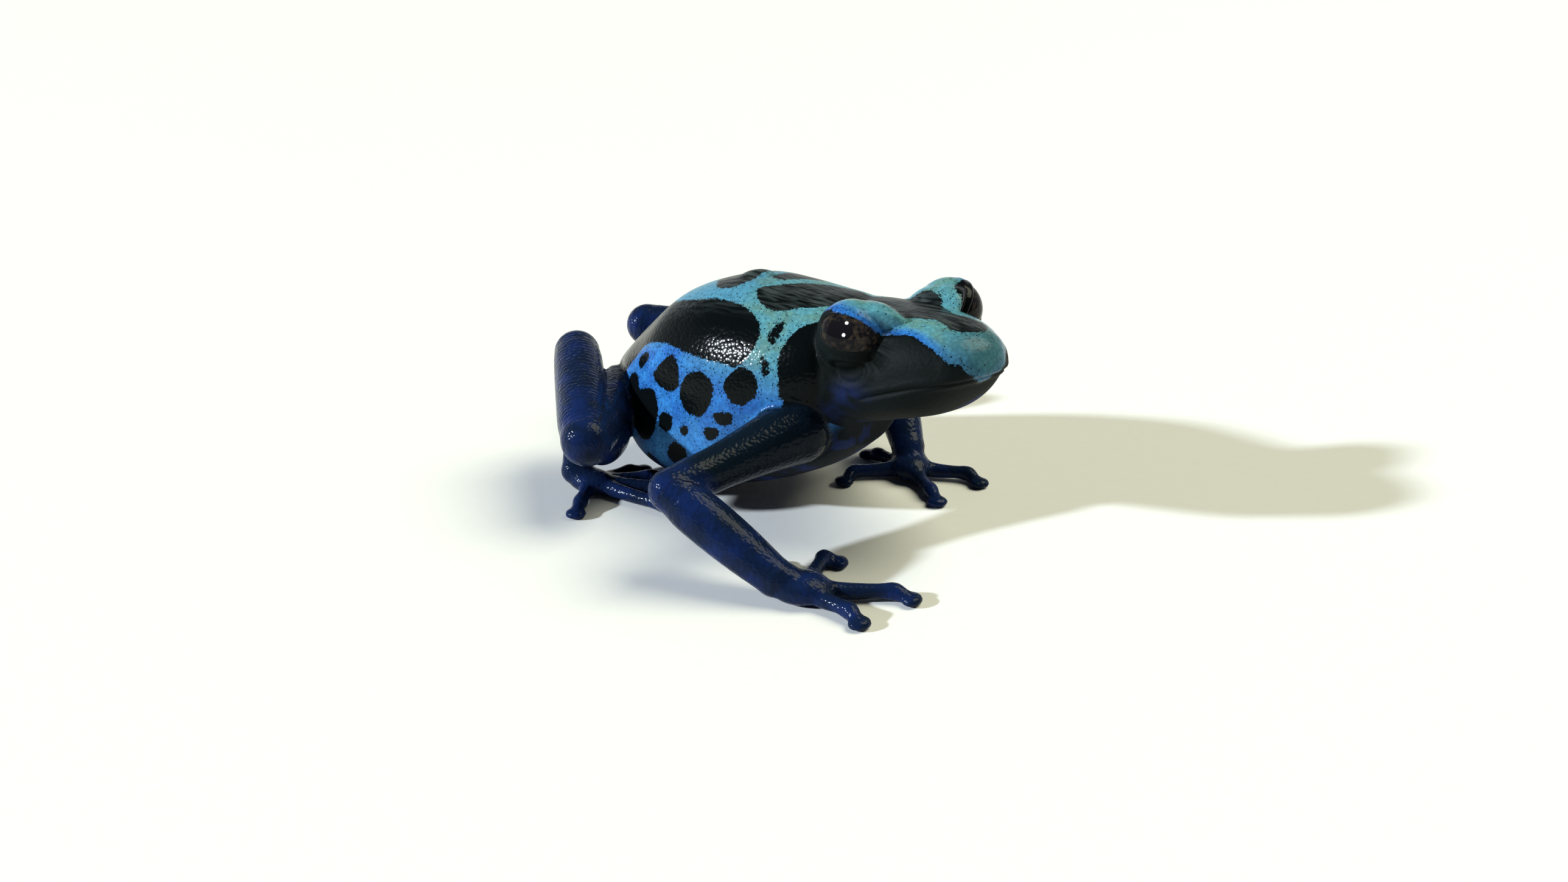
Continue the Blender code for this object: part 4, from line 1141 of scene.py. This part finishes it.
@dataclass(frozen=True)
class Granules:
    """The fine pebbling of moist frog skin, as a node group with a height, painted shade between pebbles and
    pigment dots.
    """

    name: str = "skin_granules"
    cell: float = 0.36
    dot_cell: float = 0.2
    ragged_cell: float = 0.26

    def group(self) -> bpy.types.NodeTree:
        """Make the node group."""
        tree = bpy.data.node_groups.new(self.name, "ShaderNodeTree")
        for name in ("Scale", "Dots"):
            tree.interface.new_socket(name, in_out="INPUT", socket_type="NodeSocketFloat")
        for name in ("Height", "Tone", "Dot", "Ragged"):
            tree.interface.new_socket(name, in_out="OUTPUT", socket_type="NodeSocketFloat")
        board = Board(tree)
        given = board.add("NodeGroupInput")
        result = board.add("NodeGroupOutput")
        where = board.place()
        scale = board.sum("MULTIPLY", given.outputs["Scale"], 1.0 / (self.cell * MM))
        pebbles = board.add("ShaderNodeTexVoronoi", {"Vector": where, "Scale": scale}, feature="F1")
        square = board.sum("MULTIPLY", pebbles.outputs["Distance"], pebbles.outputs["Distance"])
        height = board.sum("SUBTRACT", 1.0, square)
        cells = board.add(
            "ShaderNodeTexVoronoi", {"Vector": where, "Scale": 1.0 / (self.dot_cell * MM)}, feature="F1"
        )
        chance = board.add("ShaderNodeSeparateColor", {"Color": cells.outputs["Color"]}).outputs[0]
        chosen = board.sum("LESS_THAN", chance, given.outputs["Dots"])
        round_dot = board.ease(cells.outputs["Distance"], 0.48, 0.3)
        ragged = board.noise(where, 1.0 / (self.ragged_cell * MM), 3.0, Roughness=0.6)
        board.tie(result, "Height", height)
        # painted shade: each pebble lighter at its crown and darker towards the grooves between pebbles
        board.tie(result, "Tone", board.ease(pebbles.outputs["Distance"], 0.75, 0.1))
        board.tie(result, "Dot", board.sum("MULTIPLY", chosen, round_dot))
        board.tie(result, "Ragged", board.sum("SUBTRACT", ragged, 0.5))
        return tree


@dataclass(frozen=True)
class FrogSkinFinish:
    """Colours and gloss of the moist skin."""

    black: Colour = (0.0022, 0.0034, 0.0038)
    face_black: Colour = (0.003, 0.0052, 0.0054)
    blue: Colour = (0.035, 0.2, 0.52)
    deep_blue: Colour = (0.02, 0.11, 0.38)
    turquoise: Colour = (0.085, 0.265, 0.33)
    green: Colour = (0.1, 0.23, 0.22)
    navy: Colour = (0.005, 0.011, 0.032)
    indigo: Colour = (0.006, 0.016, 0.075)
    belly: Colour = (0.003, 0.006, 0.01)
    back_black: Colour = (0.04, 0.05, 0.052)
    arm_black: Colour = (0.004, 0.009, 0.017)
    dusky: Colour = (0.04, 0.125, 0.17)
    cheek: Colour = (0.006, 0.012, 0.05)
    roughness: float = 0.16
    dull: float = 0.45
    gloss: float = 0.07
    pebble_depth: float = 0.024
    wrinkle_depth: float = 0.02
    ring_depth: float = 0.008

    def material(self, granules: Granules) -> bpy.types.Material:
        """Make the skin's material.

        Args:
            granules: The pebbling, whose node group the skin uses.

        Returns:
            The material.
        """
        made = bpy.data.materials.new("moist_patterned_skin")
        made.use_nodes = True
        board = Board(made.node_tree)
        surface = made.node_tree.nodes["Principled BSDF"]
        where = board.place()
        depth = board.value("black")
        near_edge = board.ease(depth, -1.1, 0.0)
        density = board.sum("MULTIPLY_ADD", near_edge, 0.3, 0.05)
        inputs = {"Scale": 1.0, "Dots": density}
        grain = board.add("ShaderNodeGroup", inputs, node_tree=granules.group())
        broad = board.noise(where, 420.0, 3.0)
        blue = board.blend(board.ease(broad, 0.38, 0.62), self.deep_blue, self.blue)
        blue = board.blend(board.sum("MULTIPLY", near_edge, 0.55), blue, self.deep_blue)
        green = board.blend(board.ease(broad, 0.45, 0.65), self.turquoise, self.green)
        colour = board.blend(board.value("turquoise"), blue, green)
        # painted shade: the snout's turquoise darkened to a shaded teal
        colour = board.blend(board.sum("MULTIPLY", board.value("snout"), 0.85), colour, self.dusky)
        # painted shade of the pebbles: the colour is darkened towards the grooves between them
        lit = board.sum("MULTIPLY_ADD", grain.outputs["Tone"], 0.3, 0.8)
        colour = board.add("ShaderNodeVectorMath", {0: colour, 1: lit}, operation="MULTIPLY").outputs[0]
        sooty = board.blend(board.value("face"), self.black, self.face_black)
        # painted sheen: grey laid along the wrinkle streaks of the back and crown, standing in for the
        # reflection on the black skin
        back_sheen = board.sum("MULTIPLY", board.ease(self.streaks(board, where), 0.35, 0.7), board.value("back"))
        sooty = board.blend(back_sheen, sooty, self.back_black)
        sooty = board.blend(
            board.sum("MULTIPLY", board.value("cheek"), board.ease(broad, 0.35, 0.55)), sooty, self.cheek
        )
        colour = board.blend(board.sum("MULTIPLY", grain.outputs["Dot"], 0.85), colour, sooty)
        edge = board.sum("MULTIPLY_ADD", grain.outputs["Ragged"], 0.75, depth)
        colour = board.blend(board.ease(edge, -0.05, 0.06), colour, sooty)
        belly = board.blend(board.ease(broad, 0.5, 0.62), self.belly, self.indigo)
        colour = board.blend(board.value("belly"), colour, belly)
        limbs = board.blend(board.ease(broad, 0.35, 0.7), self.navy, self.indigo)
        # painted shade: the upper arms darkened to near black
        limbs = board.blend(board.value("upper"), limbs, self.arm_black)
        colour = board.blend(board.value("limb"), colour, limbs)
        board.tie(surface, "Base Color", colour)
        rough = board.sum("MULTIPLY_ADD", board.value("back"), 0.12, self.roughness)
        rough = board.sum("MULTIPLY_ADD", board.value("dull"), self.dull, rough)
        board.tie(surface, "Roughness", rough)
        surface.inputs["Specular IOR Level"].default_value = self.gloss
        board.tie(surface, "Normal", self.relief(board, grain, where))
        return made

    @staticmethod
    def streaks(board: Board, where: bpy.types.NodeSocket) -> bpy.types.NodeSocket:
        """Fine wrinkles that run along the back."""
        stretched = board.add("ShaderNodeMapping", {"Vector": where, "Scale": (350.0, 2600.0, 2600.0)})
        return board.noise(stretched.outputs[0], 1.0, 3.0, Distortion=0.4)

    def relief(
        self, board: Board, grain: bpy.types.Node, where: bpy.types.NodeSocket
    ) -> bpy.types.NodeSocket:
        """The skin's bump: pebbles all over, wrinkles along the back and rings round the limbs."""
        back = board.sum("MULTIPLY", self.streaks(board, where), board.value("back"))
        wobble = board.noise(where, 900.0, 2.0)
        phase = board.sum("MULTIPLY_ADD", board.value("along"), 11.0, board.sum("MULTIPLY", wobble, 9.0))
        rings = board.sum("MULTIPLY", board.sum("SINE", phase, 0.0), board.value("ring"))
        swell = board.sum("MULTIPLY_ADD", board.value("limb"), 0.8, 1.0)
        pebbles = board.sum("MULTIPLY", grain.outputs["Height"], swell)
        layers = ((pebbles, self.pebble_depth), (back, self.wrinkle_depth), (rings, self.ring_depth))
        below = {}
        for height, depth in layers:
            bump = {"Strength": 1.0, "Distance": depth * MM, "Height": height, **below}
            below = {"Normal": board.add("ShaderNodeBump", bump).outputs[0]}
        return below["Normal"]


@dataclass(frozen=True)
class EyeFinish:
    """A black, wet eye with a dark brown iris round a level pupil."""

    pupil: Colour = (0.0015, 0.0015, 0.002)
    iris: Colour = (0.009, 0.007, 0.005)
    roughness: float = 0.06
    gloss: float = 0.08

    def material(self) -> bpy.types.Material:
        """Make the eye's material, which reads how far each vertex is from the pupil."""
        made = bpy.data.materials.new("wet_dark_eye")
        made.use_nodes = True
        board = Board(made.node_tree)
        surface = made.node_tree.nodes["Principled BSDF"]
        where = board.place()
        streaks = board.noise(where, 2600.0, 4.0)
        iris = board.blend(board.ease(streaks, 0.4, 0.7), self.pupil, self.iris)
        colour = board.blend(board.ease(board.value("pupil"), -0.05, 0.06), iris, self.pupil)
        board.tie(surface, "Base Color", colour)
        surface.inputs["Roughness"].default_value = self.roughness
        surface.inputs["Specular IOR Level"].default_value = self.gloss
        return made


@dataclass(frozen=True)
class Eyeball:
    """One eyeball with its bulging cornea."""

    side: Side
    bulge: float = 0.1
    pupil: tuple[float, float] = (1.2, 0.85)

    def build(self, eyes: Eyes, pose: HeadPose) -> bpy.types.Object:
        """Build the eyeball in the working frame.

        Args:
            eyes: The eyes' sizes.
            pose: The head's place.

        Returns:
            The eyeball.
        """
        bm = bmesh.new()
        bmesh.ops.create_icosphere(bm, subdivisions=5, radius=eyes.radius)
        axes = eyes.matrix(pose, self.side)
        pupil = bm.verts.layers.float.new("pupil")
        for vert in bm.verts:
            tilt = math.acos(max(-1.0, min(1.0, vert.co.z / eyes.radius)))
            ring = math.hypot(vert.co.x / self.pupil[0], vert.co.y / self.pupil[1])
            vert[pupil] = 1.0 - ring if vert.co.z > 0.0 else -1.0
            vert.co *= 1.0 + self.bulge / eyes.radius * math.exp(-((tilt / 0.75) ** 4))
        bmesh.ops.transform(bm, matrix=axes, verts=bm.verts[:])
        mesh = bpy.data.meshes.new(f"eyeball_{self.side.word}")
        bm.to_mesh(mesh)
        bm.free()
        mesh.shade_smooth()
        ball = bpy.data.objects.new(f"eyeball_{self.side.word}", mesh)
        bpy.context.scene.collection.objects.link(ball)
        return ball


@dataclass(frozen=True)
class Camera:
    """The camera's place, line and lens, in the working frame in millimetres."""

    target: Place = (0.62, -0.09, 5.21)
    distance: float = 120.0
    azimuth: float = 52.0
    elevation: float = 22.0
    roll: float = -1.0
    lens: float = 28.65
    sensor: float = 36.0

    def build(self, slide: Vector) -> None:
        """Make the camera and set it as the scene's.

        Args:
            slide: From the working frame to the model's, in millimetres.
        """
        azimuth, elevation = math.radians(self.azimuth), math.radians(self.elevation)
        back = Vector(
            (
                math.cos(azimuth) * math.cos(elevation),
                -math.sin(azimuth) * math.cos(elevation),
                math.sin(elevation),
            )
        )
        right = Vector((0.0, 0.0, 1.0)).cross(back).normalized()
        upward = back.cross(right)
        turn = Matrix((right, upward, back)).transposed() @ Matrix.Rotation(math.radians(self.roll), 3, "Z")
        data = bpy.data.cameras.new("camera")
        data.lens = self.lens
        data.sensor_width = self.sensor
        data.clip_start = 0.001
        made = bpy.data.objects.new("camera", data)
        place = (Vector(self.target) + back * self.distance + slide) * MM
        made.matrix_world = Matrix.Translation(place) @ turn.to_4x4()
        bpy.context.scene.collection.objects.link(made)
        bpy.context.scene.camera = made


class OnEyes(Enum):
    """How a lamp treats the eyes, by Blender's word for it."""

    ONLY = "INCLUDE"
    NOT = "EXCLUDE"


@dataclass(frozen=True)
class Lamp:
    """A far lamp: where it shines from, how wide and strong it is, and its tint."""

    name: str
    towards: Place
    width: float
    strength: float
    tint: Colour = (1.0, 1.0, 1.0)
    on_eyes: OnEyes | None = None

    def build(self, eyes: list[bpy.types.Object]) -> None:
        """Hang the lamp, turned to the frog.

        Args:
            eyes: The eyeballs, which on_eyes is about.
        """
        data = bpy.data.lights.new(self.name, "SUN")
        data.angle = math.radians(self.width)
        data.energy = self.strength
        data.color = self.tint
        made = bpy.data.objects.new(self.name, data)
        made.rotation_euler = Vector(self.towards).to_track_quat("Z", "Y").to_euler()
        bpy.context.scene.collection.objects.link(made)
        if self.on_eyes:
            lit = bpy.data.collections.new(f"{self.name}_eyes")
            made.light_linking.receiver_collection = lit
            for eye in eyes:
                lit.objects.link(eye)
            for entry in lit.collection_objects:
                entry.light_linking.link_state = self.on_eyes.value


@dataclass(frozen=True)
class Studio:
    """A pale floor with soft light: a cool key from the left, warm fill from above, small glints."""

    floor_reach: float = 3.0
    dim: Colour = (0.02, 0.022, 0.025)
    bright: Colour = (0.6, 0.63, 0.65)
    backdrop: Colour = (1.0, 1.0, 1.0)
    bright_side: Place = (-0.571, 0.731, 0.0)
    card: tuple[Colour, Colour] = ((0.71, 0.71, 0.71), (0.74, 0.74, 0.74))
    lamps: tuple[Lamp, ...] = (
        Lamp("key", (-0.57, -0.71, 0.40), 3.0, 5.2, (0.84, 0.93, 1.0), OnEyes.NOT),
        Lamp("fill", (0.35, 0.45, 0.82), 44.0, 3.2, (1.0, 0.99, 0.74)),
        Lamp("glint_top", (-0.13, 0.10, 0.99), 12.0, 8.0, on_eyes=OnEyes.ONLY),
        Lamp("glint_middle", (0.11, -0.54, 0.83), 12.0, 8.0, on_eyes=OnEyes.ONLY),
        Lamp("glint_low", (0.15, -0.96, 0.23), 12.0, 8.0, on_eyes=OnEyes.ONLY),
    )

    def build(self, eyes: list[bpy.types.Object]) -> bpy.types.Object:
        """Make the floor, the surroundings and the lamps.

        Args:
            eyes: The eyeballs, which have small lamps of their own.

        Returns:
            The floor.
        """
        bm = bmesh.new()
        bmesh.ops.create_circle(bm, cap_ends=True, segments=96, radius=self.floor_reach)
        mesh = bpy.data.meshes.new("floor")
        bm.to_mesh(mesh)
        bm.free()
        floor = bpy.data.objects.new("floor", mesh)
        bpy.context.scene.collection.objects.link(floor)
        mesh.materials.append(self.floor_finish())
        self.surroundings()
        for lamp in self.lamps:
            lamp.build(eyes)
        bpy.context.scene.view_settings.view_transform = "Standard"
        return floor

    def floor_finish(self) -> bpy.types.Material:
        """Matt white card with a barely visible tooth."""
        made = bpy.data.materials.new("white_card")
        made.use_nodes = True
        board = Board(made.node_tree)
        surface = made.node_tree.nodes["Principled BSDF"]
        where = board.place()
        tooth = board.noise(where, 900.0, 4.0)
        colour = board.blend(tooth, *self.card)
        board.tie(surface, "Base Color", colour)
        surface.inputs["Roughness"].default_value = 0.8
        bump = board.add("ShaderNodeBump", {"Strength": 0.3, "Distance": 0.02 * MM, "Height": tooth})
        board.tie(surface, "Normal", bump.outputs[0])
        return made

    def surroundings(self) -> None:
        """A white backdrop to look at, and a room to be lit by, which is bright behind the frog."""
        world = bpy.data.worlds.new("studio")
        bpy.context.scene.world = world
        world.use_nodes = True
        board = Board(world.node_tree)
        shade = world.node_tree.nodes["Background"]
        line = board.add("ShaderNodeTexCoord").outputs["Generated"]
        behind = board.add("ShaderNodeVectorMath", {0: line, 1: self.bright_side}, operation="DOT_PRODUCT")
        height = board.add("ShaderNodeSeparateXYZ", {"Vector": line}).outputs["Z"]
        part = board.sum(
            "MULTIPLY", board.ease(behind.outputs["Value"], -0.25, 0.45), board.ease(height, 0.6, 0.15)
        )
        room = board.blend(part, self.dim, self.bright)
        seen = board.add("ShaderNodeLightPath").outputs["Is Camera Ray"]
        board.tie(shade, "Color", board.blend(seen, room, self.backdrop))


@dataclass
class Frog:
    """The whole frog: its parts in the working frame, and how they are set on the solids."""

    pose: HeadPose = field(default_factory=HeadPose)
    eyes: Eyes = field(default_factory=Eyes)
    trunk: Trunk = field(default_factory=Trunk)
    arms: list[Arm] = field(
        default_factory=lambda: [
            Arm(
                Side.RIGHT, (7.2, -6.6, 10.0), (3.7, -19.4, 7.9), (13.1, -17.6, 2.0), (15.0, -16.6, 1.25),
                (
                    Digit((10.9, -14.4), (9.6, -13.4)),
                    Digit((13.0, -10.6), (14.1, -10.0)),
                    Digit((21.2, -12.1), (22.6, -11.8)),
                    Digit((19.9, -16.8), (21.3, -17.4)),
                ),
            ),
            Arm(
                Side.LEFT, (7.4, 6.6, 10.0), (2.8, 15.2, 7.8), (7.7, 11.0, 2.6), (8.7, 9.9, 1.25),
                (
                    Digit((4.0, 11.2), (2.6, 11.4)),
                    Digit((4.5, 6.1), (4.6, 4.3)),
                    Digit((13.0, 6.7), (14.5, 5.5)),
                    Digit((13.9, 12.2), (15.6, 11.6)),
                ),
            ),
        ]
    )
    legs: list[Leg] = field(
        default_factory=lambda: [
            Leg(Side.RIGHT, (-17.2, -3.8, 8.2), (-9.65, -16.0, 8.1), (-21.4, -5.6, 11.5),
                (-16.5, -11.5, 1.9), (-14.6, -11.3, 1.2)),
            Leg(Side.LEFT, (-17.2, 3.8, 8.2), (-10.6, 16.4, 8.1), (-24.0, 7.4, 10.8),
                (-19.6, 12.9, 1.9), (-17.4, 12.7, 1.2)),
        ]
    )

    def slide(self) -> Vector:
        """How far the solids stand from the working frame, in millimetres, read from an eye."""
        low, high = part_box("eye_right")
        middle = (Vector(low) + Vector(high)) * 0.5 / MM
        return middle - self.pose.matrix() @ Vector(self.eyes.middle(Side.RIGHT))

    @staticmethod
    def seat(piece: bpy.types.Object, slide: Vector) -> None:
        """Bring a piece from the working frame to the solids, in metres."""
        piece.data.transform(Matrix.Scale(MM, 4) @ Matrix.Translation(slide))

    def build(self) -> tuple[Vector, list[bpy.types.Object]]:
        """Build the skin and the eyeballs, dress them and set them on the solids.

        Returns:
            The slide from the working frame to the model's, and the eyeballs.
        """
        slide = self.slide()
        LOG.info("slide %s mm", tuple(round(value, 3) for value in slide))
        skin = Skin(self.pose, self.eyes, self.trunk, self.arms, self.legs).build()
        self.seat(skin, slide)
        skin.data.materials.clear()
        skin.data.materials.append(FrogSkinFinish().material(Granules()))
        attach(skin, "root")
        limb_nodes = [name for limb in (*self.arms, *self.legs) for name in limb.nodes()]
        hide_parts("head", "torso", *limb_nodes)
        count = sum(len(face.vertices) - 2 for face in skin.data.polygons)
        LOG.info("skin: %d triangles", count)
        eye_finish = EyeFinish().material()
        eyeballs = []
        for side in Side:
            ball = Eyeball(side).build(self.eyes, self.pose)
            self.seat(ball, slide)
            ball.data.materials.append(eye_finish)
            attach(ball, "root")
            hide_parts(f"eye_{side.word}")
            LOG.info("eyeball %s: %d faces", side.word, len(ball.data.polygons))
            eyeballs.append(ball)
        return slide, eyeballs


def main() -> None:
    """Build the frog, the studio and the camera."""
    logging.basicConfig(level=logging.INFO, format="%(name)s %(message)s")
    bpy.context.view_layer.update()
    slide, eyeballs = Frog().build()
    Camera().build(slide)
    Studio().build(eyeballs)


if __name__ == "__main__":
    main()
